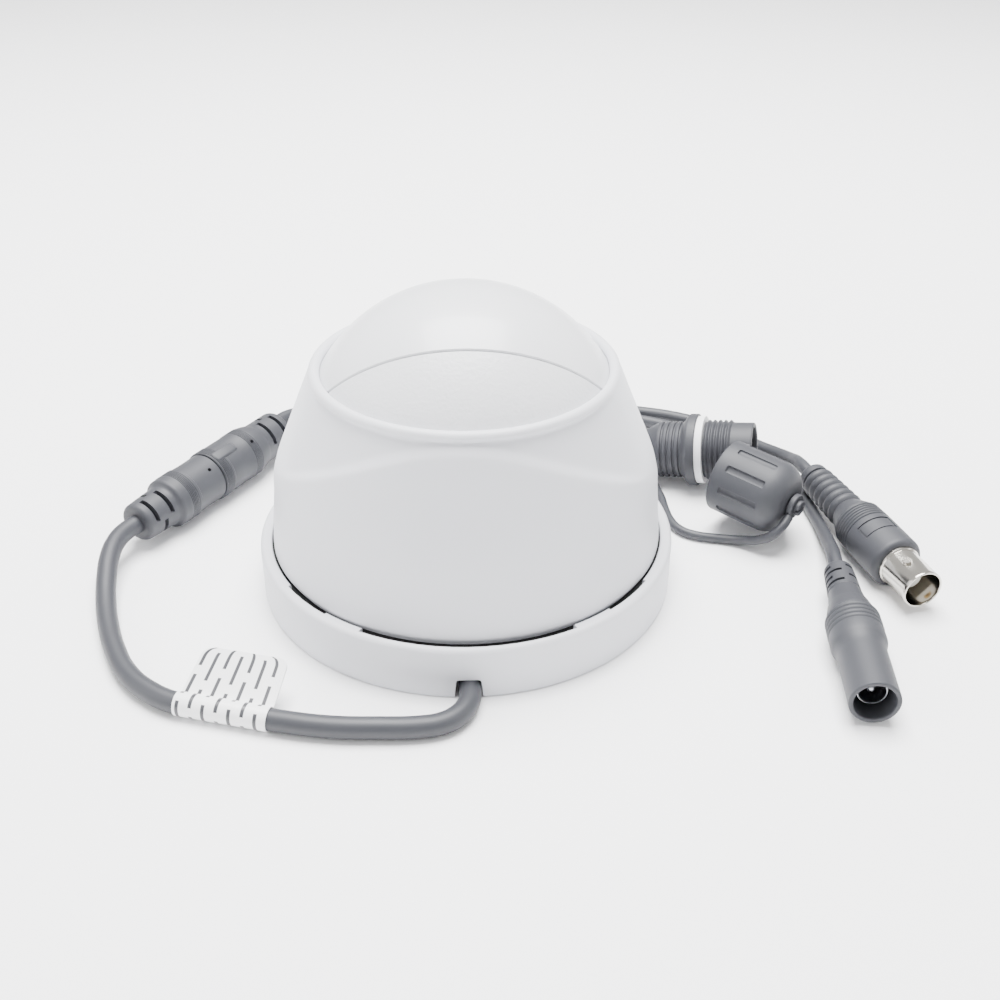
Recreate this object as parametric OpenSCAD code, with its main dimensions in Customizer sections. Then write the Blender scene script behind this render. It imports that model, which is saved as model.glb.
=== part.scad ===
// Turret dome camera with a ball head, lying lens-side away on its mounting base, and its
// loose lead set. Millimetres. Origin: centre of the base's mounting face. +Z: away from the
// mounting face. The cable leaves the base towards -Y and the lens looks towards +Y.

/* [Ball] */
// Radius of the ball
ball_r = 37; // [34:0.5:46]
// How far a whole ball would pass below the mounting face
ball_sink = 3.45; // [2:0.05:5]
// Wall of the ball's two shells
ball_wall = 2; // [1.6:0.1:2.6]
// Angle from the zenith to the lens axis, as stored
lens_lean = 63; // [30:1:75]
// Largest angle from the zenith to the lens axis
lens_lean_max = 75; // [60:1:80]
// Distance from the ball's centre back to the seam of its shells
seam_back = 2.27; // [1:0.01:4]
// Width of the seam of its shells
seam_gap = 0.2; // [0.1:0.05:0.4]
// Radius of the ball's flat front
front_r = 25.8; // [25.5:0.1:29]

/* [Window] */
// Radius of the window
window_r = 24; // [23:0.1:24.5]
// Thickness of the window
window_t = 2; // [1.5:0.1:2.6]
// Thickness of the window's gasket
gasket_t = 0.6; // [0.4:0.1:1]
// Clear radius inside the window's ledge
ledge_r = 22; // [21:0.1:22.6]

/* [Enclosure] */
// Radius of the opening that the ball stands in
rim_r = 31.5; // [29:0.1:33]
// Width of the rounded rim
rim_w = 2.5; // [1.6:0.1:4]
// Gap between ball and rim
rim_gap = 0.4; // [0.3:0.05:0.8]
// Outward slope of the upper cone, per mm of height
cone_flare = 0.415; // [0.35:0.005:0.5]
// Room from the ball's radius to the enclosure's foot radius
body_room = 8; // [7.5:0.1:11]
// Inward slope of the lower wall, per mm of height
skirt_taper = 0.072; // [0.03:0.002:0.1]
// Wall of the enclosure
body_wall = 2; // [1.6:0.1:2.4]
// Material left between the ball and the flattest line of the front and back facets
facet_skin = 1.5; // [1.3:0.1:2.2]
// Lean of the facets' axes
facet_tilt = 8.9; // [6:0.1:10]
// Taper of the facets
facet_taper = 7.55; // [5:0.05:9]
// Distance of the facets' axes behind the ball's centre
facet_back = 5; // [3:0.1:7]
// Turn of the enclosure on its base, as stored
body_turn = -2.4; // [-10:0.1:10]

/* [Mounting base] */
// Height of the base's wall
base_h = 12.3; // [11.5:0.1:16]
// Wall of the base
base_wall = 2.7; // [2.2:0.1:4]
// Gap between the base's wall and the enclosure
foot_gap = 0.4; // [0.3:0.05:0.8]
// Thickness of the base's floor
floor_t = 2.4; // [2:0.1:3]
// Radius of the hole for a cable through the ceiling
feed_r = 9; // [6:0.5:12]
// Circle of the wall screws
wall_screw_pcd = 66; // [60:1:68]
// Radius of the holes for the wall screws
wall_hole_r = 2.1; // [1.6:0.1:2.5]
// Depth of the thin cut in the base's lip
lip_cut = 0.9; // [0.5:0.1:1.4]

/* [Cable] */
// Diameter of the main cable
cable_d = 4.6; // [4:0.1:5]
// Diameter of the video, power and spare leads
lead_d = 3.4; // [3:0.1:3.6]
// Width of the cable notch at its foot
notch_w = 6.1; // [5.6:0.1:8]
// Width of the cable notch at its top
notch_top_w = 5.3; // [5.2:0.1:7]
// Height of the cable notch
notch_h = 4.7; // [4.7:0.1:5]
// Diameter of the cap's tether
tether_d = 2.3; // [1.8:0.1:2.6]

/* [Plugs on the cable] */
// Radius of the inline connector
joint_r = 6.85; // [6:0.05:6.9]
// Radius of the video plug's boot
video_boot_r = 6.4; // [6:0.1:6.4]
// Radius of the video socket's barrel
video_barrel_r = 4.75; // [4.5:0.05:5]
// Radius of the power socket's boot
power_boot_r = 6; // [5.6:0.1:6]
// Radius of the coupler's flange
coupler_flange_r = 9.5; // [9:0.1:9.5]
// Radius of the screw cap
cap_r = 9.2; // [8.6:0.1:9.2]

/* [Hidden] */
$fn = 96;

fit = 0.3;        // gap between parts that turn or slide
eps = 0.02;       // overshoot of cuts
pad_gap = 0.2;    // gap between a friction pad and the ball
screw_play = 0.1; // radial play of a screw in its hole

// Ball
ball_z = ball_r - ball_sink;
ball_in = ball_r - ball_wall;
front_z = sqrt(ball_r * ball_r - front_r * front_r);
low_angle = acos((ball_z - 3.1) / ball_r);
cut_half = low_angle + lens_lean_max / 2;
cut_d = ball_r * cos(cut_half);
cut_turn = lens_lean_max / 2;
ledge_z = front_z - 0.2 - window_t - gasket_t - 1.6;

// Lens module, measured along the lens axis from the ball's centre
carrier_r = 23.5;
guide_t = 1.4;
carrier_top = ledge_z - fit;
carrier_foot = ledge_z - 12;
board_t = 1.2;
led_z = carrier_foot + 4.9;
led_ring_r = 15.8;
led_r = 2.5;
led_count = 12;
lens_r = 6;
holder_r = 7.5;
holder_z = carrier_foot - 4.2;
sensor_board_w = 27;
sensor_board_z = holder_z - board_t;
main_board_r = 16.2;
main_board_z = sensor_board_z - 2.4 - board_t;
spacer_at = 9.6;

// Enclosure
body_foot_r = ball_r + body_room - 0.1;
body_z = 5.3;
rim_z = ball_z + sqrt(pow(ball_r + rim_gap, 2) - rim_r * rim_r) - rim_w / 4;
rim_out_r = rim_r + rim_w;
skirt_z = base_h + 0.6;
shoulder_z = (rim_out_r + cone_flare * rim_z - body_foot_r - skirt_taper * skirt_z)
    / (cone_flare - skirt_taper);
shoulder_r = body_foot_r - skirt_taper * (shoulder_z - skirt_z);
facet_lean = facet_tilt + facet_taper;
flange_r = body_foot_r - 4.1;
flange_t = 2;

// Ball seat
seat_low = ball_z - 13.55;
seat_high = ball_z - 9.55;
seat_r = (ball_r + facet_skin - body_wall + (ball_z - seat_high) * sin(facet_lean))
    / cos(facet_lean) - foot_gap;
seat_screw_r = ball_r + 2.35;

// Base
base_r = body_foot_r + foot_gap + base_wall;
base_in_r = body_foot_r + foot_gap;
ledge_h = body_z - fit;
ring_z = body_z + flange_t + fit;
ring_t = 1.8;
ring_post_r = flange_r - 3.2;
ring_post_w = 2.6;
clamp_y = -(ring_post_r - 4.6);
clamp_screw_x = 6.6;

// Cable routes. The surface that the object stands on is z = 0.
main_route = [[0, -30, 2.35], [0, -36, 2.35], [0, -42, 2.35], [0.2, -46.5, 2.35],
    [0.3, -49.7, 2.35], [-0.5, -53.2, 2.35], [-2.5, -56.2, 2.35], [-5.5, -58.2, 2.35],
    [-9.5, -59.1, 2.4], [-18, -59.3, 2.5], [-28, -58.7, 2.5], [-38.5, -56.6, 2.5],
    [-59.5, -50.8, 2.5], [-66, -46.8, 2.5], [-71.5, -41, 2.4], [-76, -33, 2.4],
    [-79.4, -24.6, 2.5], [-81.8, -16.6, 3.2], [-83.3, -9, 4.6], [-83.9, -3, 5.9],
    [-83.6, 2.4, 6.7], [-82.24, 6.9, 6.9], [-80.4, 10, 6.9]];
joint_at = [-80.4, 10, 6.9];
joint_dir = [59.3, 0];
joint_len = 55.2;
video_route = [[-53.9, 58.5, 6.1], [-52.16, 61.43, 6.1], [-49.4, 65.4, 5.5],
    [-44.6, 69.9, 4.2], [-37.5, 73.8, 2.6], [-28, 76.7, 1.8], [-14, 78.6, 1.8],
    [0, 79.3, 1.8], [14, 79.5, 1.8], [28, 79.1, 1.8], [42, 77.8, 1.8], [54, 75.2, 1.8],
    [63.5, 71.3, 1.8], [71, 66, 1.8], [77.3, 59.6, 1.9], [82.3, 52.9, 2.4],
    [85.6, 47.4, 3.4], [87.7, 41.8, 4.9], [88.4, 36.6, 6.7], [88.85, 32.17, 7.48],
    [89.85, 28.3, 7.4]];
video_at = [89.85, 28.3, 7.4];
video_dir = [-75.5, -1.2];
power_route = [[-50.59, 56.52, 6.1], [-48.85, 59.45, 6.1], [-45.8, 63.6, 5.1],
    [-41, 67.9, 3.6], [-34.8, 71, 2.4], [-26, 73.4, 1.75], [-13, 74.9, 1.75],
    [0, 75.5, 1.75], [14, 75.6, 1.75], [28, 75, 1.75], [41, 73.3, 1.75], [52, 70.2, 1.75],
    [61, 65.2, 1.75], [69, 58.7, 1.75], [76, 51.4, 1.75], [81.9, 44.5, 1.75],
    [85.8, 37.2, 1.75], [87.6, 29.5, 1.75], [88.5, 21.2, 1.75], [88.8, 13.5, 1.9],
    [88.4, 6.5, 2.8], [87.7, 0.6, 4], [86.9, -4.6, 5.4], [86.13, -8.82, 6.05],
    [85.7, -12.8, 6.05]];
power_at = [85.7, -12.8, 6.05];
power_dir = [-96.2, 0];
spare_route = [[-52.2, 57.5, 9.4], [-50.5, 60.4, 9.4], [-46.1, 64.6, 8.6],
    [-40.5, 66.9, 7.4], [-33.5, 67.4, 5.4], [-26, 66.9, 3.1], [-17, 66.5, 1.9],
    [-5, 66.6, 1.75], [8, 66.2, 1.75], [20, 63.6, 1.75], [28.6, 59.6, 1.8],
    [34.4, 55, 2.6], [38.4, 50.7, 4.1], [42.2, 47, 5.9], [47.8, 43.9, 7.3]];
coupler_at = [61, 38.9, 9.63];
coupler_dir = [-19, 8.5];
cap_at = [65.2, 20.4, 12.6];
cap_dir = [-42, -4];
tether_route = [[78.08, 5.34, 9.38], [76.3, 3.4, 8], [74, 2.6, 6], [71.4, 3.8, 3.9],
    [68.3, 6.2, 2.2], [64.6, 8, 1.35], [60.6, 9, 1.25], [56.8, 10.2, 1.25],
    [53.6, 12.6, 1.25], [51.8, 16.6, 1.25], [51.1, 22, 1.25], [50.9, 28, 1.25],
    [50.2, 33.2, 1.4], [49.4, 37, 2.4]];
video_relief = 18.6;
video_body_end = 41;
video_end = 51.4;
power_neck = 14.6;
power_shoulder = 18.4;
power_band_end = 30;
power_end = 46.2;
power_mouth_r = 5.25;
coupler_back = -14;
coupler_front = 15.5;
label_len = 20.5;
label_flag_len = 13;
label_t = 0.15;
label_at = [-59.5, -50.8, 2.5];
label_dir = [-15.44, 0];
label_lean = 25;

white = "white";
grey = [0.49, 0.49, 0.51];
metal = "silver";
dark = [0.12, 0.12, 0.13];

// ---------------------------------------------------------------- helpers

// Puts a piece's +Z along a heading (degrees from +X) and a pitch above the horizontal
module along(at, dir) {
    translate(at) rotate([0, 0, dir[0]]) rotate([0, 90 - dir[1], 0]) children();
}

// Places a piece in the lens frame: origin at the ball's centre, +Z along the lens axis
module lens_frame() {
    translate([0, 0, ball_z]) rotate([-lens_lean, 0, 0]) children();
}

module turret_frame() {
    rotate([0, 0, body_turn]) children();
}

module ring(r_out, r_in, z0, z1) {
    translate([0, 0, z0]) difference() {
        cylinder(r = r_out, h = z1 - z0);
        translate([0, 0, -1]) cylinder(r = r_in, h = z1 - z0 + 2);
    }
}

module disc(r, z0, z1) {
    translate([0, 0, z0]) cylinder(r = r, h = z1 - z0);
}

// A pie slice about Z between two angles
module sector(r, a0, a1, z0, z1) {
    steps = max(2, ceil((a1 - a0) / 20));
    translate([0, 0, z0]) linear_extrude(z1 - z0)
        polygon(concat([[0, 0]],
            [for (i = [0:steps]) r * [cos(a0 + (a1 - a0) * i / steps), sin(a0 + (a1 - a0) * i / steps)]]));
}

// Cuts the ball's back off flat, `inset` inside the finished cut
module back_cut(inset) {
    size = 4 * ball_r;
    difference() {
        children();
        rotate([cut_turn, 0, 0]) translate([-size / 2, -size / 2, -cut_d + inset - size])
            cube(size);
    }
}

module ball_space(r, inset) {
    back_cut(inset) sphere(r = r);
}

// Zone of a ball between two heights, as a stack of narrow cones
module ball_zone(r, z0, z1) {
    a0 = asin(z0 / r);
    a1 = asin(z1 / r);
    steps = ceil((a1 - a0) / 3);
    rotate_extrude() polygon(concat([[0, z0]],
        [for (i = [0:steps]) let (a = a0 + (a1 - a0) * i / steps) r * [cos(a), sin(a)]],
        [[0, z1]]));
}

module screw(shank_r, shank_h, head_r, head_h, slot_w) {
    // head on top, shank hanging down from z = 0
    difference() {
        union() {
            translate([0, 0, -shank_h]) cylinder(r = shank_r, h = shank_h + eps, $fn = 24);
            cylinder(r = head_r, h = head_h, $fn = 32);
        }
        for (a = [0, 90]) rotate([0, 0, a])
            translate([-head_r * 0.6, -slot_w / 2, head_h * 0.4])
                cube([head_r * 1.2, slot_w, head_h]);
    }
}

function unit(v) = v / norm(v);
function tangent(p, i) = unit(p[min(i + 1, len(p) - 1)] - p[max(i - 1, 0)]);
function side(t) = unit(cross(t, [0, 0, 1]));

// Tube of `sides` sides swept along the points p
module tube(p, d, sides) {
    n = len(p);
    points = [for (i = [0:n - 1]) let (t = tangent(p, i), u = side(t), v = cross(u, t))
        for (k = [0:sides - 1]) p[i] + d / 2 * (cos(360 * k / sides) * u + sin(360 * k / sides) * v)];
    walls = [for (i = [0:n - 2]) for (k = [0:sides - 1])
        let (a = i * sides + k, b = i * sides + (k + 1) % sides)
        each [[a, b, b + sides], [a, b + sides, a + sides]]];
    first = [for (k = [1:sides - 2]) [0, k + 1, k]];
    last = [for (k = [1:sides - 2]) [(n - 1) * sides, (n - 1) * sides + k, (n - 1) * sides + k + 1]];
    polyhedron(points = points, faces = concat(walls, first, last));
}

// ---------------------------------------------------------------- mounting base

module notch_outline() {
    polygon([[-notch_w / 2, -1], [-notch_w / 2, 0], [-notch_top_w / 2, notch_h - 1],
        [-notch_top_w / 2 + 0.7, notch_h], [notch_top_w / 2 - 0.7, notch_h],
        [notch_top_w / 2, notch_h - 1], [notch_w / 2, 0], [notch_w / 2, -1]]);
}

module ring_posts() {
    for (a = [90, 210, 330]) rotate([0, 0, a]) translate([ring_post_r, 0, 0]) children();
}

module wall_screws() {
    for (a = [45:90:315]) rotate([0, 0, a]) translate([wall_screw_pcd / 2, 0, 0]) children();
}

module mounting_base() {
    color(white) difference() {
        union() {
            rotate_extrude() polygon(concat([[0, 0], [base_r, 0]],
                [for (a = [0:15:90]) [base_r - 1 + cos(a), base_h - 1 + sin(a)]],
                [[base_in_r, base_h], [base_in_r, ledge_h], [flange_r - 0.3, ledge_h],
                    [flange_r - 0.3, floor_t], [0, floor_t]]));
            ring_posts() disc(ring_post_w, floor_t - eps, ring_z);
            wall_screws() disc(4.4, floor_t - eps, floor_t + 2);
            for (x = [-1, 1]) translate([x * clamp_screw_x, clamp_y, 0])
                disc(2.4, floor_t - eps, notch_h + 0.1);
        }
        disc(feed_r, -1, floor_t + 1);
        rotate([90, 0, 0]) linear_extrude(base_r + 2) notch_outline();
        ring_posts() disc(0.85 + screw_play, ring_z - 5, ring_z + 1);
        wall_screws() disc(wall_hole_r, -1, floor_t + 3);
        for (x = [-1, 1]) translate([x * clamp_screw_x, clamp_y, 0])
            disc(0.85 + screw_play, 0.8, notch_h + 1);
        for (cut = [[-29, 29], [41, 58], [-58, -41]]) intersection() {
            ring(base_in_r + lip_cut, base_in_r - 1, ledge_h, base_h + 1);
            sector(base_r, cut[0] - 90, cut[1] - 90, ledge_h, base_h + 1);
        }
    }
}

module pan_ring() {
    color(dark) difference() {
        ring(flange_r + 1.6, ring_post_r - ring_post_w, ring_z, ring_z + ring_t);
        ring_posts() disc(0.85 + screw_play, ring_z - 1, ring_z + ring_t + 1);
    }
}

module pan_ring_screws() {
    color(metal) ring_posts() translate([0, 0, ring_z + ring_t]) screw(0.85, 5, 1.9, 1.3, 0.4);
}

module cable_clamp() {
    foot = notch_h + 0.1;
    color(dark) difference() {
        translate([-9, clamp_y - 2.8, foot]) cube([18, 5.6, 1.6]);
        for (x = [-1, 1]) translate([x * clamp_screw_x, clamp_y, 0])
            disc(0.85 + screw_play, foot - 1, foot + 3);
    }
}

module clamp_screws() {
    color(metal) for (x = [-1, 1]) translate([x * clamp_screw_x, clamp_y, notch_h + 1.7])
        screw(0.85, 4.6, 1.6, 1.1, 0.4);
}

// ---------------------------------------------------------------- enclosure

// Cone that flattens the front (way = 1) or the back (way = -1), `inset` inside its surface
module facet(way, inset) {
    r0 = (ball_r + facet_skin - inset + facet_back * cos(facet_lean)) / cos(facet_taper);
    low = 2 * ball_r;
    high = 1.4 * ball_r;
    k = tan(facet_taper);
    translate([0, way * facet_back, ball_z]) rotate([-way * facet_tilt, 0, 0])
        translate([0, 0, -low]) cylinder(r1 = r0 + k * low, r2 = r0 - k * high, h = low + high);
}

module enclosure() {
    top = rim_z + rim_w / 2;
    boss_z = seat_high;
    color(white) turret_frame() difference() {
        union() {
            difference() {
                intersection() {
                    rotate_extrude() polygon(concat([[0, body_z], [body_foot_r, body_z],
                        [body_foot_r, skirt_z], [shoulder_r, shoulder_z]],
                        [for (a = [0:15:180]) [rim_r + rim_w / 2 * (1 + cos(a)), rim_z + rim_w / 2 * sin(a)]],
                        [[0, rim_z]]));
                    facet(1, 0);
                    facet(-1, 0);
                }
                intersection() {
                    rotate_extrude() polygon([[0, body_z + flange_t],
                        [body_foot_r - body_wall, body_z + flange_t],
                        [body_foot_r - body_wall, skirt_z],
                        [shoulder_r - body_wall, shoulder_z - 0.6],
                        [rim_out_r - body_wall, rim_z - 1.6], [0, rim_z - 1.6]]);
                    facet(1, body_wall);
                    facet(-1, body_wall);
                }
            }
            for (a = [30, 150, 270]) intersection() {
                rotate([0, 0, a]) translate([seat_screw_r, 0, 0]) disc(1.9, boss_z, ball_z - 1);
                facet(1, 0.8);
                facet(-1, 0.8);
            }
        }
        translate([0, 0, ball_z]) sphere(r = ball_r + rim_gap);
        disc(flange_r, body_z - 1, body_z + flange_t + 1);
        disc(rim_r, ball_z, top + 2);
        for (a = [30, 150, 270]) rotate([0, 0, a]) translate([seat_screw_r, 0, 0])
            disc(0.85 + screw_play, boss_z - 1, ball_z - 3);
    }
}

module pad_spots() {
    for (a = [0:60:300]) rotate([0, 0, a]) children();
}

module pad_block(grow) {
    translate([ball_r - 2, -3 - grow, seat_low + 0.8 - grow])
        cube([4.2 + grow, 6 + 2 * grow, seat_high - seat_low - 1.6 + 2 * grow]);
}

module ball_seat() {
    color(dark) turret_frame() difference() {
        disc(seat_r, seat_low, seat_high);
        translate([0, 0, ball_z]) sphere(r = ball_r + 0.9);
        pad_spots() pad_block(0);
        for (a = [30, 150, 270]) rotate([0, 0, a]) translate([seat_screw_r, 0, 0])
            disc(0.85 + screw_play, seat_low - 1, seat_high + 1);
    }
}

module friction_pads() {
    color(dark) turret_frame() difference() {
        pad_spots() pad_block(0);
        translate([0, 0, ball_z]) sphere(r = ball_r + pad_gap);
    }
}

module seat_screws() {
    color(metal) turret_frame() for (a = [30, 150, 270]) rotate([0, 0, a])
        translate([seat_screw_r, 0, seat_low]) rotate([180, 0, 0])
            screw(0.85, seat_high - seat_low + 5, 1.5, 1.1, 0.4);
}

// ---------------------------------------------------------------- ball

module shell_spots() {
    for (x = [-1, 1]) translate([x * (ball_in - 4.5), 9.5, 0]) children();
}

// Keeps what lies between two heights
module slab(z0, z1) {
    intersection() {
        children();
        translate([-2 * ball_r, -2 * ball_r, z0]) cube([4 * ball_r, 4 * ball_r, z1 - z0]);
    }
}

module front_shell() {
    color(white) lens_frame() difference() {
        union() {
            difference() {
                back_cut(0) ball_zone(ball_r, -seam_back, front_z);
                back_cut(ball_wall) ball_zone(ball_in, -seam_back - 1, ledge_z);
            }
            ring(carrier_r + fit + guide_t, carrier_r + fit, carrier_foot, ledge_z + eps);
            intersection() {
                back_cut(0.5) shell_spots() disc(3.3, -seam_back, -seam_back + 7);
                disc(ball_r - 0.9, -seam_back, -seam_back + 7);
            }
        }
        disc(ledge_r, carrier_foot, front_z + 1);
        disc(window_r + 0.1, front_z - 0.2 - window_t - gasket_t, front_z + 1);
        shell_spots() disc(0.9 + screw_play, -seam_back - 1, -seam_back + 6);
    }
}

module rear_shell() {
    color([0.9, 0.9, 0.9]) lens_frame() difference() {
        union() {
            difference() {
                slab(-ball_r, -seam_back - seam_gap) ball_space(ball_r, 0);
                ball_space(ball_in, ball_wall);
            }
            intersection() {
                shell_spots() disc(3.3, -ball_r, -seam_back - seam_gap);
                ball_space(ball_r - 0.5, 0.5);
            }
        }
        ring(ball_r - 1.1, 1, -seam_back - 0.75, 0);
        shell_spots() disc(0.9 + screw_play, -ball_r, 0);
        shell_spots() disc(2.1, -ball_r, -seam_back - 2.4);
        rotate([cut_turn, 0, 0]) disc(6, -cut_d - 1, -cut_d + ball_wall + 1);
    }
}

module shell_gasket() {
    color(dark) lens_frame() intersection() {
        ring(ball_r - 1.2, ball_in - 0.6, -seam_back - 0.75, -seam_back);
        ball_space(ball_r, 0.4);
    }
}

module shell_screws() {
    color(metal) lens_frame() shell_spots() translate([0, 0, -seam_back - 2.4])
        rotate([180, 0, 0]) screw(0.9, 7.4, 1.9, 1, 0.4);
}

module window() {
    color([0.1, 0.1, 0.12, 0.5]) lens_frame() disc(window_r, front_z - 0.2 - window_t, front_z - 0.2);
}

module window_gasket() {
    low = front_z - 0.2 - window_t - gasket_t;
    color(dark) lens_frame() ring(window_r, ledge_r + 0.2, low, low + gasket_t);
}

module cable_grommet() {
    lead_hole = 1.6;
    color(dark) lens_frame() rotate([cut_turn, 0, 0]) difference() {
        union() {
            disc(6, -cut_d - eps, -cut_d + ball_wall + eps);
            disc(7.5, -cut_d - 1, -cut_d);
            disc(7.5, -cut_d + ball_wall, -cut_d + ball_wall + 1);
        }
        disc(lead_hole, -cut_d - 2, -cut_d + ball_wall + 2);
    }
}

module carrier_retainer() {
    color(dark) lens_frame()
        ring(carrier_r + fit + guide_t, carrier_r - 2, carrier_foot - 1.4, carrier_foot);
}

// ---------------------------------------------------------------- lens module

module spacer_spots() {
    for (x = [-1, 1], y = [-1, 1]) translate([x * spacer_at, y * spacer_at, 0]) children();
}

module module_carrier() {
    foot = carrier_foot + fit;
    color(dark) lens_frame() difference() {
        union() {
            ring(carrier_r, carrier_r - 1.5, foot, carrier_top);
            disc(carrier_r - 1, foot, foot + 1.5);
            for (a = [0:90:270]) rotate([0, 0, a]) translate([18.6, 0, 0]) disc(2, foot, led_z);
        }
        disc(holder_r + 1, foot - 1, foot + 2);
        spacer_spots() disc(0.85 + screw_play, foot - 1, foot + 2);
    }
}

module led_board() {
    color([0.1, 0.3, 0.15]) lens_frame() difference() {
        disc(carrier_r - 1.8, led_z, led_z + board_t);
        disc(holder_r + 1, led_z - 1, led_z + board_t + 1);
    }
}

module infrared_leds() {
    color([0.5, 0.45, 0.5]) lens_frame() for (i = [0:led_count - 1])
        rotate([0, 0, (i + 0.5) * 360 / led_count]) translate([led_ring_r, 0, led_z + board_t])
            union() {
                disc(led_r, 0, 2.4);
                translate([0, 0, 2.4]) intersection() {
                    sphere(r = led_r, $fn = 32);
                    disc(led_r, 0, led_r + 1);
                }
            }
}

module photocell() {
    color("tan") lens_frame() translate([0, 11.4, led_z + board_t]) disc(1.6, 0, 1.8);
}

module light_baffle() {
    color(dark) lens_frame()
        ring(holder_r + 2.2, holder_r + 1.2, led_z + board_t, front_z - 0.2 - window_t - fit);
}

module lens_holder() {
    foot = carrier_foot + fit;
    color(dark) lens_frame() difference() {
        union() {
            translate([-8, -8, holder_z]) cube([16, 16, 2.5]);
            disc(holder_r, holder_z, foot + 3);
        }
        disc(lens_r + 0.05, holder_z + 2, foot + 4);
        translate([-5, -4.5, holder_z - 1]) cube([10, 9, 2.2]);
        disc(3.5, holder_z - 1, holder_z + 3);
    }
}

module lens_barrel() {
    color([0.08, 0.08, 0.09]) lens_frame() difference() {
        union() {
            disc(lens_r, holder_z + 2.6, led_z + 4);
            disc(lens_r + 1, led_z + 4, front_z - 0.2 - window_t - 1);
        }
        disc(3.2, holder_z, front_z);
        disc(5, front_z - window_t - 4.4, front_z);
        disc(4.4, holder_z, holder_z + 5);
    }
}

module front_lens() {
    glass_z = front_z - window_t - 4.4;
    color([0.3, 0.35, 0.5, 0.5]) lens_frame() union() {
        disc(4.95, glass_z, glass_z + 1.4);
        intersection() {
            translate([0, 0, glass_z - 6]) sphere(r = 8.6);
            disc(4.95, glass_z + 1.3, glass_z + 4);
        }
    }
}

module rear_lens() {
    color([0.3, 0.35, 0.5, 0.5]) lens_frame() disc(4.35, holder_z + 3.6, holder_z + 5);
}

module lens_lock_ring() {
    foot = carrier_foot + fit;
    color(dark) lens_frame() ring(holder_r + 0.4, lens_r + 0.05, foot + 3, foot + 4.2);
}

module cut_filter() {
    color([0.5, 0.3, 0.3, 0.5]) lens_frame() translate([-3.9, -3.9, holder_z + 0.75])
        cube([7.8, 7.8, 0.4]);
}

module image_sensor() {
    color([0.2, 0.2, 0.25]) lens_frame() translate([-4, -3.5, sensor_board_z + board_t])
        cube([8, 7, 0.7]);
}

module rounded_board(w, r, z0) {
    translate([0, 0, z0]) linear_extrude(board_t) union() {
        square([w - 2 * r, w], center = true);
        square([w, w - 2 * r], center = true);
        for (x = [-1, 1], y = [-1, 1]) translate([x * (w / 2 - r), y * (w / 2 - r)]) circle(r = r);
    }
}

module sensor_board() {
    color([0.1, 0.3, 0.15]) lens_frame() difference() {
        rounded_board(sensor_board_w, 2, sensor_board_z);
        spacer_spots() disc(0.85 + screw_play, sensor_board_z - 1, sensor_board_z + 3);
    }
}

// Posts between the carrier and the sensor board, and between the two boards
module board_spacers() {
    color(metal) lens_frame() spacer_spots() {
        ring(1.8, 0.85 + screw_play, sensor_board_z + board_t, carrier_foot + fit);
        ring(1.8, 0.85 + screw_play, main_board_z + board_t, sensor_board_z);
    }
}

module main_board() {
    color([0.1, 0.3, 0.15]) lens_frame() difference() {
        disc(main_board_r, main_board_z, main_board_z + board_t);
        spacer_spots() disc(0.85 + screw_play, main_board_z - 1, main_board_z + 3);
    }
}

module processor() {
    color(dark) lens_frame() union() {
        translate([-5, -4.5, main_board_z - 1]) cube([10, 9, 1]);
        translate([-4, -9.5, main_board_z - 2.6]) cube([8, 3.5, 2.6]);
    }
}

module board_screws() {
    color(metal) lens_frame() spacer_spots() translate([0, 0, main_board_z]) rotate([180, 0, 0])
        screw(0.85, carrier_foot + fit + 1.4 - main_board_z, 1.5, 0.9, 0.4);
}

// ---------------------------------------------------------------- main cable

module main_cable() {
    color(grey) tube(main_route, cable_d, 10);
}

module sticker_label() {
    wrap_r = cable_d / 2 + 0.02;
    color(white) along(label_at, label_dir) union() {
        ring(wrap_r + label_t, wrap_r, 0.4, label_len);
        // The flag leans back from the cable: local -X is up, local +Y is away from the base's front
        rotate([0, 0, 90 + label_lean]) translate([wrap_r, 0, 0.4]) rotate([90, 0, 0]) linear_extrude(label_t)
                polygon([[0, 0.2], [label_flag_len - wrap_r - 1.2, 3.8], [label_flag_len - wrap_r, 5],
                    [label_flag_len - wrap_r, label_len - 1.2], [label_flag_len - wrap_r - 1.2, label_len - 0.4],
                    [0, label_len - 0.4]]);
    }
}

// Moulded half of the inline connector from s0 to s1, with its strain relief towards `relief`
module joint_half(r0, s0, s1, relief_end, relief_len, tip_r) {
    out = relief_end > s0 ? 1 : -1;
    body_end = relief_end - out * relief_len;
    far = out > 0 ? s0 : s1;
    difference() {
        rotate_extrude() polygon([[0, far], [r0 - 0.3, far], [r0, far + out * 0.4],
            [r0, body_end - out * 1.4], [r0 - 0.8, body_end], [tip_r + 1, body_end],
            [tip_r, relief_end - out * 0.6], [tip_r - 0.6, relief_end], [0, relief_end]]);
        for (k = [0:1]) for (a = [30, 210]) rotate([0, 0, a + k * 90])
            intersection() {
                ring(tip_r + 3, tip_r - 1.1, body_end + out * (2.6 + 3 * k) - 0.45, body_end + out * (2.6 + 3 * k) + 0.45);
                sector(tip_r + 4, -40, 40, body_end - 20, body_end + 20);
            }
    }
}

module plug_housing() {
    color(grey) along(joint_at, joint_dir) difference() {
        joint_half(joint_r - 0.25, 0, 25.8, 0, 11.2, 4.9);
        disc(4, 21, 27);
    }
}

module socket_housing() {
    color(grey) along(joint_at, joint_dir) union() {
        joint_half(joint_r, 26, joint_len, joint_len, 11, 5.2);
        disc(3.4, 21.6, 26.2);
    }
}

module joint_seal() {
    color(dark) along(joint_at, joint_dir) ring(3.95, 3.45, 22.2, 23.4);
}

module video_lead() {
    color(grey) tube(video_route, lead_d, 8);
}

module power_lead() {
    color(grey) tube(power_route, lead_d, 8);
}

module spare_lead() {
    color(grey) tube(spare_route, lead_d, 8);
}

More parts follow.
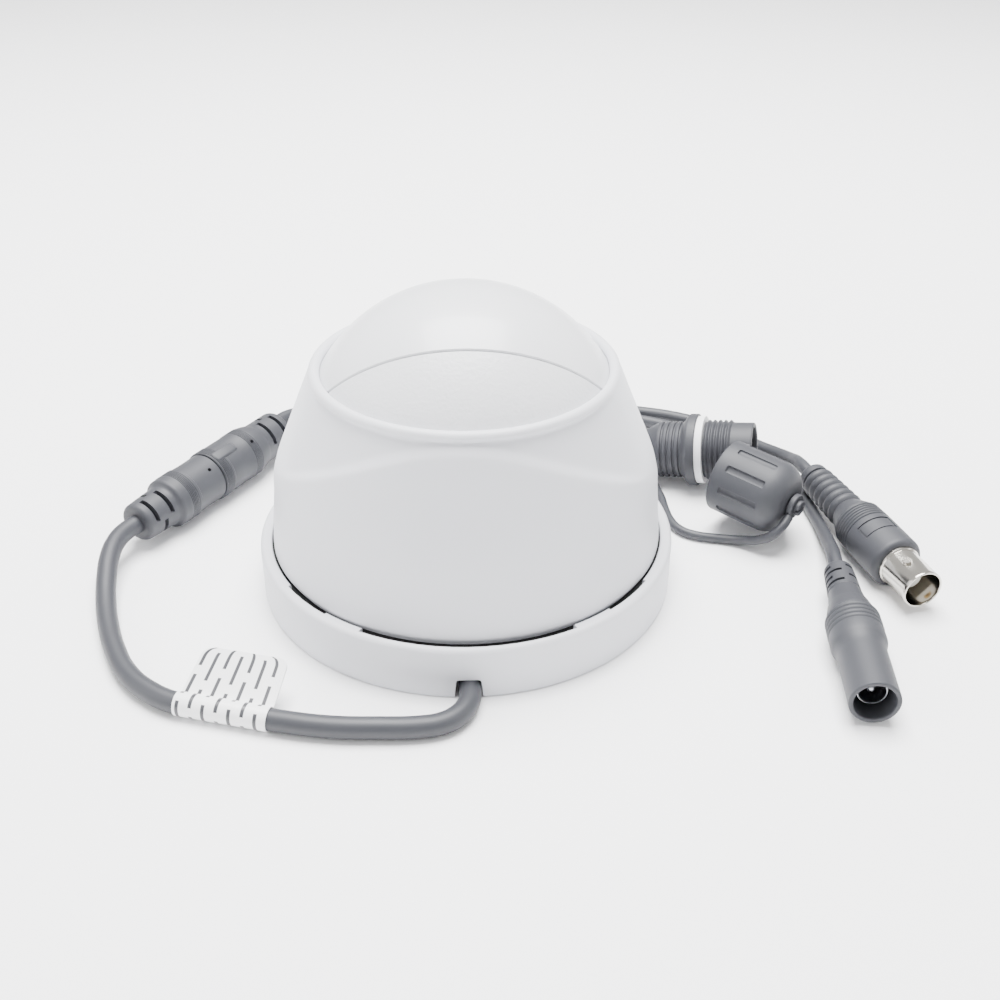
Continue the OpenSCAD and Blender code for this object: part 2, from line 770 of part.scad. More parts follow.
// ---------------------------------------------------------------- video plug

module video_boot() {
    color(grey) along(video_at, video_dir) difference() {
        union() {
            rotate_extrude() polygon([[0, 0], [2.8, 0], [3.2, 0.5], [4.4, video_relief],
                [video_boot_r - 0.3, video_relief + 4.2], [video_boot_r, video_relief + 6],
                [video_boot_r, video_body_end - 1], [video_boot_r - 0.8, video_body_end],
                [0, video_body_end]]);
            for (i = [0:5]) disc(3.6 + 0.22 * i, 1.2 + 2.9 * i, 2.9 + 2.9 * i);
        }
        disc(video_barrel_r, video_body_end - 6, video_body_end + 1);
    }
}

module video_barrel() {
    color(metal) along(video_at, video_dir) difference() {
        union() {
            disc(video_barrel_r, video_body_end - 6, video_end);
            disc(video_barrel_r + 0.35, video_body_end, video_body_end + 0.8);
            for (a = [0, 180]) rotate([0, 0, a + 90]) translate([0, 0, video_body_end + 5])
                rotate([0, 90, 0]) cylinder(r = 0.95, h = video_barrel_r + 0.7, $fn = 24);
        }
        disc(video_barrel_r - 0.5, video_body_end - 1, video_end + 1);
        disc(2.4, video_body_end - 7, video_end);
    }
}

module video_insulator() {
    color(white) along(video_at, video_dir) difference() {
        union() {
            disc(2.4, video_body_end - 6, video_body_end - 1);
            disc(2.4, video_body_end - 1, video_end - 4.6);
        }
        disc(1, video_body_end - 7, video_end);
    }
}

module video_contact() {
    color("gold") along(video_at, video_dir) difference() {
        disc(1, video_body_end - 6, video_end - 5);
        disc(0.45, video_end - 9, video_end);
    }
}

// ---------------------------------------------------------------- power socket

module power_boot() {
    color(grey) along(power_at, power_dir) difference() {
        rotate_extrude() polygon([[0, 0], [2.7, 0], [3.3, 0.6], [3.7, 9.4], [4, 9.6],
            [4.5, power_neck], [power_boot_r - 0.5, power_shoulder],
            [power_boot_r - 0.1, power_shoulder + 1.4], [power_boot_r, power_band_end - 4],
            [power_boot_r - 0.3, power_band_end], [power_mouth_r, power_band_end + 2],
            [power_mouth_r, power_end - 0.4], [power_mouth_r - 0.4, power_end], [0, power_end]]);
        disc(power_mouth_r - 1, power_band_end + 1, power_end + 1);
        for (k = [0:3]) for (a = [20, 200]) rotate([0, 0, a + k % 2 * 90]) intersection() {
            ring(6, 2.6, 1.8 + 2 * k, 2.6 + 2 * k);
            sector(7, -38, 38, 0, 20);
        }
    }
}

module power_ring() {
    color(metal) along(power_at, power_dir) ring(3.05, 2.8, power_band_end + 1, power_end - 3.4);
}

module power_core() {
    color(dark) along(power_at, power_dir) disc(2.8, power_band_end + 1, power_band_end + 3);
}

module power_pin() {
    color(metal) along(power_at, power_dir) union() {
        disc(0.95, power_band_end + 3, power_end - 5);
        translate([0, 0, power_end - 5]) intersection() {
            sphere(r = 0.95, $fn = 24);
            disc(1, 0, 2);
        }
    }
}

// ---------------------------------------------------------------- coupler and its cap

module coupler_body() {
    crest = 7.9;
    root = 7.35;
    color(grey) along(coupler_at, coupler_dir) difference() {
        rotate_extrude() polygon(concat(
            [[0, coupler_back], [5, coupler_back], [7.2, -9.4]],
            [for (i = [0:3]) each [[7.4, -8.9 + 1.5 * i], [7.4, -8.1 + 1.5 * i],
                [7, -7.9 + 1.5 * i], [7, -7.6 + 1.5 * i]]],
            [[7.4, -2.9], [coupler_flange_r, -1.4], [coupler_flange_r, 1], [root, 1],
                [root, 3]],
            [for (i = [0:4]) each [[root, 3.1 + 1.4 * i], [crest, 3.6 + 1.4 * i],
                [crest, 3.9 + 1.4 * i], [root, 4.4 + 1.4 * i]]],
            [[root, 10.4], [7.3, 10.6], [7.3, coupler_front - 0.4],
                [7, coupler_front], [0, coupler_front]]));
        disc(6, 2.5, coupler_front + 1);
    }
}

module coupler_seal() {
    color(white) along(coupler_at, coupler_dir) ring(8.9, 7.36, 1, 2.8);
}

module coupler_insert() {
    color(dark) along(coupler_at, coupler_dir) disc(5.9, 2.5, 5);
}

module coupler_pins() {
    color("gold") along(coupler_at, coupler_dir) for (a = [0:90:270]) rotate([0, 0, a])
        translate([2.6, 0, 0]) disc(0.5, 5, 8);
}

module screw_cap() {
    len = 18.6;
    groove_d = 0.7;
    color(grey) along(cap_at, cap_dir) difference() {
        rotate_extrude() polygon(concat([[0, 0], [cap_r - 0.3, 0], [cap_r, 0.4]],
            [for (a = [0:10:80]) [cap_r - 4.2 * (1 - cos(a)) - 0.2, len - 5 + 5 * sin(a)]],
            [[3, len], [0, len]]));
        disc(8, -1, len - 8);
        for (i = [0:9]) rotate([0, 0, i * 36 + 10]) translate([cap_r - groove_d, -0.8, 3.4])
            cube([3, 1.6, 9]);
        disc(1 + screw_play, len - 4, len + 1);
    }
}

module cap_liner() {
    color(dark) along(cap_at, cap_dir) disc(7.9, 9.4, 10.5);
}

module cap_tether() {
    color(grey) tube(tether_route, tether_d, 8);
}

module tether_rings() {
    color(grey) {
        along(cap_at, cap_dir) ring(3.1, 1.2, 18.7, 20.5);
        along(coupler_at, coupler_dir) ring(6.9, 5.1, coupler_back - 1.8, coupler_back);
    }
}

module tether_screw() {
    color(grey) along(cap_at, cap_dir) difference() {
        union() {
            disc(1, 15.2, 20.7);
            disc(1.9, 20.6, 21.5);
        }
        translate([-0.3, -2.5, 21]) cube([0.6, 5, 1]);
    }
}

// ---------------------------------------------------------------- drawing
mounting_base();
pan_ring();
pan_ring_screws();
cable_clamp();
clamp_screws();
enclosure();
ball_seat();
friction_pads();
seat_screws();
front_shell();
rear_shell();
shell_gasket();
shell_screws();
window();
window_gasket();
cable_grommet();
carrier_retainer();
module_carrier();
led_board();
infrared_leds();
photocell();
light_baffle();
lens_holder();
lens_barrel();
front_lens();
rear_lens();
lens_lock_ring();
cut_filter();
image_sensor();
sensor_board();
board_spacers();
main_board();
processor();
board_screws();
main_cable();
sticker_label();
plug_housing();
socket_housing();
joint_seal();
video_lead();
power_lead();
spare_lead();
video_boot();
video_barrel();
video_insulator();
video_contact();
power_boot();
power_ring();
power_core();
power_pin();
coupler_body();
coupler_seal();
coupler_insert();
coupler_pins();
screw_cap();
cap_liner();
cap_tether();
tether_rings();
tether_screw();
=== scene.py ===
"""Looks of a turret dome camera and its lead set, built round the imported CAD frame.

Sizes are in millimetres until a piece is finished, and every finished piece is in metres. The
camera and the cords are made first. A turned piece is drawn standing on its own +Z axis and is
then laid along its heading.
"""

import logging
import math
from dataclasses import dataclass, field
from enum import Enum
from typing import Iterable, Sequence

import bmesh
import bpy
from mathutils import Matrix, Vector


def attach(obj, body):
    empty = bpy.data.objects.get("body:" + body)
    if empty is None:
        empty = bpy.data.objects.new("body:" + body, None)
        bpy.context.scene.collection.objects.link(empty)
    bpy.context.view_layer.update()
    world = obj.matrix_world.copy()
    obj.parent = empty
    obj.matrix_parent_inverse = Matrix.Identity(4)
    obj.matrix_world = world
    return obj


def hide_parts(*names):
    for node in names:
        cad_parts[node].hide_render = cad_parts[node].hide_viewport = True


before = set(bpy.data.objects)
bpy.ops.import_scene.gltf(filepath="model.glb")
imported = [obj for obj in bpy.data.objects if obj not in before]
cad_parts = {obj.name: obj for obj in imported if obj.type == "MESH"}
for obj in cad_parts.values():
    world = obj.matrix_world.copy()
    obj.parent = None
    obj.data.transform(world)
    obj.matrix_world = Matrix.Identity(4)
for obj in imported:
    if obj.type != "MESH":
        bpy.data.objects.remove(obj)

LOG = logging.getLogger("turret_camera")
MM = 0.001
FULL_TURN = 360.0
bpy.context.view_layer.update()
# Output numbers of the coordinate and the mix nodes
OBJECT_COORDS = 3
MIXED_COLOUR = 2
# Width of a finish's colour patches in grains, and how far its roughness strays over them
PATCH_GRAINS = 30
GLOSS_STRAY = 0.05
# Below a half, a ring is broad with a narrow valley beside it
RING_FULLNESS = 0.42

Point = tuple[float, float]
Place = tuple[float, float, float]


# ------------------------------------------------------------------ finishes


def linear(hex_colour: str) -> tuple[float, float, float, float]:
    """Turns an sRGB hex colour into linear light.

    Args:
        hex_colour: six hex digits after a hash.

    Returns:
        Linear red, green, blue and an alpha of one.
    """
    channels = [int(hex_colour[i : i + 2], 16) / 255 for i in (1, 3, 5)]
    made = [c / 12.92 if c <= 0.04045 else ((c + 0.055) / 1.055) ** 2.4 for c in channels]
    return made[0], made[1], made[2], 1.0


def add_node(
    tree: bpy.types.NodeTree,
    kind: str,
    inputs: dict[str | int, object] | None = None,
    output: int = 0,
    **settings: object,
) -> bpy.types.NodeSocket | None:
    """Adds one shader node with its settings and links.

    Args:
        tree: the material's node tree.
        kind: the node's type name.
        inputs: socket name or number to a value, or to an output socket to link.
        output: number of the output to hand back.
        settings: the node's own properties.

    Returns:
        That output, or nothing from a node without any.
    """
    made = tree.nodes.new(kind)
    for name, value in settings.items():
        setattr(made, name, value)
    for key, value in (inputs or {}).items():
        if isinstance(value, bpy.types.NodeSocket):
            tree.links.new(value, made.inputs[key])
        else:
            made.inputs[key].default_value = value
    return made.outputs[output] if made.outputs else None


class Grain(Enum):
    """How a surface got its fine relief."""

    SPARKED = "spark-eroded mould skin"
    PEEL = "orange peel"
    DRAWN = "drawn or turned lines"
    TRACED = "copper traces under solder mask"
    PRINTED = "blank printed blocks"


@dataclass(frozen=True)
class Finish:
    """A real surface: what it is made of and how its skin was formed."""

    name: str
    colour: str
    roughness: float
    grain: Grain = Grain.SPARKED
    grain_mm: float = 0.35
    depth_mm: float = 0.006
    stray: float = 0.03
    metallic: float = 0.0
    ior: float = 1.5
    clear: float = 0.0
    coat: float = 0.0
    second: str = ""

    def material(self) -> bpy.types.Material:
        """Returns this finish's material, made on its first use."""
        return bpy.data.materials.get(self.name) or self._build()

    def _build(self) -> bpy.types.Material:
        """Builds the node tree.

        Returns:
            The new material.
        """
        made = bpy.data.materials.new(self.name)
        made.use_nodes = True
        tree = made.node_tree
        tree.nodes.clear()
        coords = add_node(tree, "ShaderNodeTexCoord", output=OBJECT_COORDS)
        if self.grain is Grain.DRAWN:
            stretch = {"Vector": coords, "Scale": (1.0, 1.0, 0.06)}
            coords = add_node(tree, "ShaderNodeMapping", stretch)
        grain = self.grain_mm * MM
        # Broad patches let colour and gloss stray as on a handled piece
        wide = {"Vector": coords, "Scale": 1 / (PATCH_GRAINS * grain), "Detail": 3.0}
        patches = add_node(tree, "ShaderNodeTexNoise", wide)
        fine = {"Vector": coords, "Scale": 1 / grain, "Detail": 2.0}
        relief = add_node(tree, "ShaderNodeTexNoise", fine)
        inputs = {
            "Base Color": self._colour(tree, coords, patches),
            "Roughness": add_node(
                tree,
                "ShaderNodeMapRange",
                {
                    "Value": patches,
                    "To Min": max(0.02, self.roughness - GLOSS_STRAY),
                    "To Max": self.roughness + GLOSS_STRAY,
                },
            ),
            "Normal": add_node(
                tree,
                "ShaderNodeBump",
                {"Height": relief, "Strength": 0.6, "Distance": self.depth_mm * MM},
            ),
            "Metallic": self.metallic,
            "Transmission Weight": self.clear,
            "Coat Weight": self.coat,
        }
        if not self.metallic:
            inputs["IOR"] = self.ior
        shader = add_node(tree, "ShaderNodeBsdfPrincipled", inputs)
        add_node(tree, "ShaderNodeOutputMaterial", {"Surface": shader})
        return made

    def _colour(
        self,
        tree: bpy.types.NodeTree,
        coords: bpy.types.NodeSocket,
        patches: bpy.types.NodeSocket,
    ) -> bpy.types.NodeSocket:
        """Builds the colour that strays round the finish's own, or takes a second one in a pattern.

        Args:
            tree: the material's node tree.
            coords: the pattern's coordinates.
            patches: the slow noise.

        Returns:
            The colour's output socket.
        """
        base = linear(self.colour)
        low = tuple(c * (1 - self.stray) for c in base[:3]) + (1.0,)
        high = tuple(min(1.0, c * (1 + self.stray)) for c in base[:3]) + (1.0,)
        mix = {"output": MIXED_COLOUR, "data_type": "RGBA"}
        plain = add_node(tree, "ShaderNodeMix", {"Factor": patches, 6: low, 7: high}, **mix)
        if not self.second:
            return plain
        if self.grain is Grain.PRINTED:
            coords = add_node(tree, "ShaderNodeUVMap", uv_map="print")
        bars = {
            "Vector": coords,
            "Color1": (0.0, 0.0, 0.0, 1.0),
            "Color2": (0.0, 0.0, 0.0, 1.0),
            "Mortar": (1.0, 1.0, 1.0, 1.0),
            "Scale": 1.0,
            "Mortar Size": 0.38 * self.grain_mm * MM,
            "Mortar Smooth": 0.1,
            "Brick Width": 3.0 * self.grain_mm * MM,
            "Row Height": self.grain_mm * MM,
        }
        brick = add_node(tree, "ShaderNodeTexBrick", bars, offset=0.37)
        pair = {"Factor": brick, 6: linear(self.second), 7: plain}
        return add_node(tree, "ShaderNodeMix", pair, **mix)


# Moulded ABS, white, satin from a fine spark-eroded mould
WHITE_ABS = Finish("moulded_white_abs", "#D2D3D8", 0.44, grain_mm=0.5, depth_mm=0.008, stray=0.012)
# Sprayed and rubbed polycarbonate, smoother and glossier than the housing
SMOOTH_WHITE = Finish(
    "sprayed_white_polycarbonate", "#D8D9DC", 0.34, Grain.PEEL, 2.2, 0.006, 0.01, coat=0.12
)
# Powder-like sprayed skin whose pits are just wide enough to show
PEEL_WHITE = Finish("orange_peel_white", "#D5D6D9", 0.42, Grain.PEEL, 0.8, 0.16, 0.012)
# Extruded PVC jacket, dull, with a fine even skin
PVC_JACKET = Finish("extruded_grey_pvc", "#35363B", 0.5, Grain.SPARKED, 0.5, 0.01, 0.04)
# Overmoulded soft PVC, duller than the jacket
SOFT_PVC = Finish("overmoulded_grey_pvc", "#37383D", 0.56, Grain.SPARKED, 0.35, 0.012, 0.04)
# Filled nylon, black, dull enough to hide inside the ball
BLACK_PLASTIC = Finish("moulded_black_nylon", "#17181A", 0.5, depth_mm=0.01, stray=0.1)
# Moulded rubber, the dullest black
BLACK_RUBBER = Finish(
    "moulded_black_rubber", "#121213", 0.72, grain_mm=0.4, depth_mm=0.015, stray=0.12
)
# Light smoke tint that shows what stands behind it, under a sharp reflection
SMOKE_WINDOW = Finish(
    "smoked_polycarbonate_window", "#BDBDC6", 0.04, Grain.PEEL, 6.0, 0.0004, 0.02,
    ior=1.58, clear=0.92,
)
# Bluish coated glass with a hard highlight
LENS_GLASS = Finish(
    "coated_lens_glass", "#AFC0E6", 0.03, Grain.PEEL, 6.0, 0.0002, 0.02,
    ior=1.6, clear=0.9, coat=0.6,
)
# Dark turned metal with fine lines that stretch its highlights
ANODISED = Finish(
    "black_anodised_aluminium", "#1C1D20", 0.35, Grain.DRAWN, 0.2, 0.004, 0.1, metallic=0.9
)
# Green mask with lighter traces under it
CIRCUIT = Finish(
    "green_solder_mask", "#1E5A35", 0.35, Grain.TRACED, 1.4, 0.02, 0.06, coat=0.3, second="#2F7A48"
)
# Violet smoked epoxy, glossy and half clear
LED_EPOXY = Finish(
    "cast_smoked_epoxy", "#6C6277", 0.12, Grain.PEEL, 3.0, 0.001, 0.05, ior=1.55, clear=0.55
)
# Tan fired ceramic, dull
CERAMIC = Finish("fired_sensor_ceramic", "#B98A5E", 0.4, depth_mm=0.006, stray=0.08)
# Dark grey moulded chip bodies, a shade lighter than the nylon round them
CHIP = Finish("transfer_moulded_chip", "#222327", 0.42, depth_mm=0.006, stray=0.08)
# Cool bright metal on screws and on the power socket's ring and pin
STEEL = Finish("zinc_plated_steel", "#B9BBC0", 0.3, Grain.DRAWN, 0.25, 0.004, 0.06, metallic=1.0)
# Yellow turned metal on the board spacers
BRASS = Finish("turned_brass", "#C8B27A", 0.28, Grain.DRAWN, 0.25, 0.004, 0.06, metallic=1.0)
# Mirror-bright barrel with faint drawn lines
NICKEL = Finish("bright_nickel_plate", "#C9C5BD", 0.16, Grain.DRAWN, 0.4, 0.002, 0.05, metallic=1.0)
# Warm thin plating on contacts
GOLD = Finish("flash_gold_plate", "#D9B25C", 0.25, Grain.DRAWN, 0.25, 0.002, 0.05, metallic=1.0)
# Off-white waxy plastic inside the barrel
PTFE = Finish("turned_white_ptfe", "#E4E1D8", 0.5, Grain.DRAWN, 0.3, 0.006, 0.02)
# A clean white band on the grey coupler
SILICONE = Finish("moulded_white_silicone", "#F1F1F2", 0.5, depth_mm=0.006, stray=0.01)
# Shiny film with blank printed bars
LABEL_FILM = Finish(
    "coated_label_film", "#F4F4F5", 0.3, Grain.PRINTED, 2.8, 0.002, 0.01, coat=0.2, second="#3C3C40"
)
# Matt near-white paper that takes the contact shadows
FLOOR_PAPER = Finish("studio_floor_paper", "#FBFBFC", 0.9, Grain.PEEL, 4.0, 0.002, 0.005)

# The CAD nodes that stay in view, by finish
CAD_FINISHES: dict[Finish, str] = {
    BLACK_PLASTIC: "pan_ring ball_seat cable_clamp carrier_retainer module_carrier light_baffle "
    "lens_holder coupler_insert power_core",
    BLACK_RUBBER: "friction_pads shell_gasket window_gasket cable_grommet joint_seal cap_liner",
    SMOKE_WINDOW: "window",
    LENS_GLASS: "front_lens rear_lens cut_filter",
    ANODISED: "lens_barrel lens_lock_ring",
    CIRCUIT: "led_board sensor_board main_board",
    LED_EPOXY: "infrared_leds",
    CERAMIC: "photocell",
    CHIP: "image_sensor processor",
    STEEL: "pan_ring_screws clamp_screws seat_screws shell_screws board_screws power_ring "
    "power_pin",
    BRASS: "board_spacers",
    PTFE: "video_insulator",
    SILICONE: "coupler_seal",
    GOLD: "video_contact coupler_pins",
}


# ------------------------------------------------------------------ shaping


def turned(degrees: float, axis: str = "Z") -> Matrix:
    """A turn about one axis."""
    return Matrix.Rotation(math.radians(degrees), 4, axis)


def moved(x: float, y: float, z: float) -> Matrix:
    """A move without a turn."""
    return Matrix.Translation((x, y, z))


def arc(centre: Point, radius: float, start: float, end: float, steps: int = 6) -> list[Point]:
    """Points along a circular arc.

    Args:
        centre: the arc's centre, as radius from the axis and height.
        radius: the arc's own radius.
        start: first angle in degrees, from the outward direction towards +Z.
        end: last angle in degrees.
        steps: how many steps the arc takes.

    Returns:
        The points, both ends included.
    """
    angles = [math.radians(start + (end - start) * i / steps) for i in range(steps + 1)]
    return [(centre[0] + radius * math.cos(a), centre[1] + radius * math.sin(a)) for a in angles]


def ridges(
    start: float, end: float, count: int, radius: float, swell: float, end_radius: float = 0.0
) -> list[Point]:
    """An outline of rounded rings on a straight or tapered wall.

    Args:
        start: height where the rings begin.
        end: height where they end.
        count: how many rings.
        radius: wall radius at the start.
        swell: how far each ring stands out.
        end_radius: wall radius at the end, or zero for a straight wall.

    Returns:
        Points from start to end.
    """
    per_ring = 8
    last = end_radius or radius
    made = []
    for i in range(count * per_ring + 1):
        share = i / (count * per_ring)
        wave = (1 - math.cos(math.tau * share * count)) / 2
        wall = radius + (last - radius) * share
        made.append((wall + swell * wave**RING_FULLNESS, start + (end - start) * share))
    return made


def spin(
    outline: Sequence[Point],
    closed: bool = False,
    segments: int = 96,
    start: float = 0.0,
    sweep: float = FULL_TURN,
) -> bmesh.types.BMesh:
    """Spins an outline about +Z.

    Args:
        outline: points as radius and height.
        closed: whether the last point joins the first.
        segments: steps round the sweep.
        start: the sweep's first angle in degrees.
        sweep: its size in degrees; under a full turn its two ends are filled.

    Returns:
        A closed mesh with its faces outwards.
    """
    mesh = bmesh.new()
    verts = [mesh.verts.new((r, 0.0, z)) for r, z in outline]
    pairs = list(zip(verts, verts[1:]))
    if closed:
        pairs.append((verts[-1], verts[0]))
    edges = [mesh.edges.new(pair) for pair in pairs]
    bmesh.ops.rotate(mesh, verts=verts, matrix=turned(start).to_3x3())
    bmesh.ops.spin(
        mesh,
        geom=verts + edges,
        cent=(0, 0, 0),
        axis=(0, 0, 1),
        angle=math.radians(sweep),
        steps=segments,
        use_merge=sweep == FULL_TURN,
    )
    bmesh.ops.remove_doubles(mesh, verts=mesh.verts, dist=1e-4)
    open_edges = [edge for edge in mesh.edges if len(edge.link_faces) == 1]
    if open_edges:
        bmesh.ops.holes_fill(mesh, edges=open_edges, sides=0)
    bmesh.ops.recalc_face_normals(mesh, faces=mesh.faces)
    return mesh


def band(
    r_in: float, r_out: float, z0: float, z1: float, middle: float, width: float
) -> bmesh.types.BMesh:
    """Part of a square-edged ring, `width` degrees wide round the direction `middle`."""
    outline = [(r_in, z0), (r_out, z0), (r_out, z1), (r_in, z1)]
    return spin(outline, True, max(4, round(width / 4)), middle - width / 2, width)


def rod(radius: float, height: float, seat: Matrix, sides: int = 24) -> bmesh.types.BMesh:
    """A plain rod or drill.

    Args:
        radius: its radius.
        height: its length along the seat's +Z.
        seat: where its foot stands.
        sides: facets round it.

    Returns:
        The closed rod.
    """
    mesh = bmesh.new()
    bmesh.ops.create_cone(
        mesh, cap_ends=True, segments=sides, radius1=radius, radius2=radius, depth=height,
        matrix=seat @ moved(0, 0, height / 2),
    )
    return mesh


def block(size: Place, seat: Matrix, round_off: float = 0.0) -> bmesh.types.BMesh:
    """A block about the seat's origin.

    Args:
        size: its three sides.
        seat: where its middle is.
        round_off: radius of its edges, or zero for sharp ones.

    Returns:
        The closed block.
    """
    mesh = bmesh.new()
    bmesh.ops.create_cube(mesh, size=1.0, matrix=Matrix.Diagonal((*size, 1.0)))
    if round_off:
        bmesh.ops.bevel(
            mesh, geom=mesh.edges[:], offset=round_off, segments=3, profile=0.5,
            affect="EDGES", material=-1,
        )
    bmesh.ops.transform(mesh, matrix=seat, verts=mesh.verts)
    return mesh


def plain_object(mesh: bmesh.types.BMesh, name: str) -> bpy.types.Object:
    """Puts a shape in the scene.

    Args:
        mesh: the shape; it is freed.
        name: the object's name.

    Returns:
        The new object, at the origin.
    """
    data = bpy.data.meshes.new(name)
    mesh.to_mesh(data)
    mesh.free()
    made = bpy.data.objects.new(name, data)
    bpy.context.scene.collection.objects.link(made)
    return made


def combine(
    body: bmesh.types.BMesh, tools: Iterable[bmesh.types.BMesh], operation: str = "DIFFERENCE"
) -> bmesh.types.BMesh:
    """Cuts shapes out of a body, or joins them to it, exactly.

    Args:
        body: the shape that stays; it is used up.
        tools: the other shapes; they are used up.
        operation: DIFFERENCE or UNION.

    Returns:
        The new shape.
    """
    target = plain_object(body, "work_body")
    used = [plain_object(tool, f"work_tool_{i}") for i, tool in enumerate(tools)]
    for tool in used:
        cut = target.modifiers.new("work", "BOOLEAN")
        cut.operation = operation
        cut.solver = "EXACT"
        cut.object = tool
    graph = bpy.context.evaluated_depsgraph_get()
    data = bpy.data.meshes.new_from_object(target.evaluated_get(graph))
    made = bmesh.new()
    made.from_mesh(data)
    bpy.data.meshes.remove(data)
    for spent in [target, *used]:
        bpy.data.meshes.remove(spent.data)
    bmesh.ops.remove_doubles(made, verts=made.verts, dist=1e-4)
    return made


def lay(place: Place, heading: float, pitch: float = 0.0) -> Matrix:
    """Stands a piece's +Z along a heading from +X and a pitch above the level, in degrees."""
    return moved(*place) @ (turned(heading) @ turned(90 - pitch, "Y"))


def finish_piece(
    mesh: bmesh.types.BMesh,
    name: str,
    finish: Finish,
    seat: Matrix,
    body: str,
    replaced: Sequence[str] = (),
    sharp: float = 34.0,
) -> bpy.types.Object:
    """Makes a piece of the object from a shape in millimetres.

    Args:
        mesh: the shape on its own axis; it is used up.
        name: the piece's name.
        finish: its surface.
        seat: where it stands, in millimetres.
        body: the CAD body that it moves with.
        replaced: the CAD nodes that it stands for.
        sharp: the angle in degrees past which an edge stays crisp.

    Returns:
        The finished object, at the origin and in metres.
    """
    bmesh.ops.transform(mesh, matrix=Matrix.Scale(MM, 4) @ seat, verts=mesh.verts)
    for face in mesh.faces:
        face.smooth = True
    for edge in mesh.edges:
        edge.smooth = len(edge.link_faces) == 2 and edge.calc_face_angle(0.0) < math.radians(sharp)
    piece = plain_object(mesh, name)
    piece.data.materials.append(finish.material())
    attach(piece, body)
    if replaced:
        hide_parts(*replaced)
    LOG.info("%s: %d faces on %s", name, len(piece.data.polygons), body)
    return piece


def moulding(mesh: bmesh.types.BMesh, name: str, seat: Matrix, node: str) -> bpy.types.Object:
    """Makes an overmoulded grey piece on the base that stands for one CAD node."""
    return finish_piece(mesh, name, SOFT_PVC, seat, "base", [node])


# ------------------------------------------------------------------ camera and light


@dataclass(frozen=True)
class Panel:
    """One square soft light that faces the object, in metres and watts."""

    name: str
    place: Place
    side: float
    power: float


@dataclass
class Studio:
    """Camera, floor and soft light; turns are in radians, and only `aim` is in metres."""

    place: Place = (0.0, -238.47, 165.02)
    yaw: float = 0.0327
    pitch: float = 0.5506
    roll: float = 0.0041
    lens_mm: float = 43.2
    floor_size: float = 6000.0
    floor_drop: float = 0.05
    panels: tuple[Panel, ...] = (
        Panel("top_panel", (0.0, 0.2, 0.95), 0.7, 46.0),
        Panel("left_panel", (-0.85, -0.25, 0.5), 0.6, 5.0),
        Panel("right_panel", (0.9, -0.1, 0.45), 0.6, 2.5),
    )
    aim: Place = (0.0, 0.0, 0.03)
    air: float = 0.85

    def camera(self) -> None:
        """Makes the camera at the angle from which the object is seen."""
        forward = Vector(
            (
                math.sin(self.yaw) * math.cos(self.pitch),
                math.cos(self.yaw) * math.cos(self.pitch),
                -math.sin(self.pitch),
            )
        )
        level = Vector((math.cos(self.yaw), -math.sin(self.yaw), 0.0))
        up = level.cross(forward)
        right = level * math.cos(self.roll) + up * math.sin(self.roll)
        top = up * math.cos(self.roll) - level * math.sin(self.roll)
        data = bpy.data.cameras.new("camera")
        data.lens = self.lens_mm
        data.clip_start = 0.01
        camera = bpy.data.objects.new("camera", data)
        turn = Matrix((right, top, -forward)).transposed().to_4x4()
        camera.matrix_world = Matrix.Translation(Vector(self.place) * MM) @ turn
        bpy.context.scene.collection.objects.link(camera)
        bpy.context.scene.camera = camera

    def floor(self) -> None:
        """Lays the pale floor."""
        mesh = bmesh.new()
        bmesh.ops.create_grid(mesh, x_segments=2, y_segments=2, size=self.floor_size / 2 * MM)
        floor = plain_object(mesh, "floor")
        floor.location.z = -self.floor_drop * MM
        floor.data.materials.append(FLOOR_PAPER.material())

    def lights(self) -> None:
        """Hangs the panels and fills the room with soft light."""
        for panel in self.panels:
            data = bpy.data.lights.new(panel.name, "AREA")
            data.shape = "SQUARE"
            data.size = panel.side
            data.energy = panel.power
            lamp = bpy.data.objects.new(panel.name, data)
            lamp.location = panel.place
            way = Vector(self.aim) - Vector(panel.place)
            lamp.rotation_euler = way.to_track_quat("-Z", "Y").to_euler()
            bpy.context.scene.collection.objects.link(lamp)
        world = bpy.data.worlds.new("studio_air")
        world.use_nodes = True
        sky = world.node_tree.nodes["Background"]
        sky.inputs["Color"].default_value = (1.0, 1.0, 1.0, 1.0)
        sky.inputs["Strength"].default_value = self.air
        bpy.context.scene.world = world


# ------------------------------------------------------------------ cords


@dataclass
class Cord:
    """One free cord along a route in millimetres."""

    name: str
    diameter: float
    route: Sequence[Place]
    exit: Place
    far_end: str
    carried: Sequence[str]
    stiffness: str = "medium"

    def length(self) -> float:
        """Length of the route in millimetres."""
        return sum(math.dist(a, b) for a, b in zip(self.route, self.route[1:]))

    def build(self) -> bpy.types.Object:
        """Draws the cord as one smooth curve.

        Returns:
            The cord's curve, riding on the base.
        """
        data = bpy.data.curves.new(f"{self.name}_cord", "CURVE")
        data.dimensions = "3D"
        data.bevel_depth = self.diameter / 2 * MM
        data.bevel_resolution = 7
        data.resolution_u = 8
        data.use_fill_caps = True
        spline = data.splines.new("BEZIER")
        spline.bezier_points.add(len(self.route) - 1)
        for knot, place in zip(spline.bezier_points, self.route):
            knot.co = Vector(place) * MM
            knot.handle_left_type = knot.handle_right_type = "AUTO"
        data.materials.append(PVC_JACKET.material())
        cord = bpy.data.objects.new(f"{self.name}_cord", data)
        bpy.context.scene.collection.objects.link(cord)
        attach(cord, "base")
        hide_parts(self.name)
        LOG.info("%s: %.0f mm", cord.name, self.length())
        return cord

    def declare(self, cord: bpy.types.Object) -> None:
        """Args:
            cord: the cord's curve.
        """
        self.length() * MM


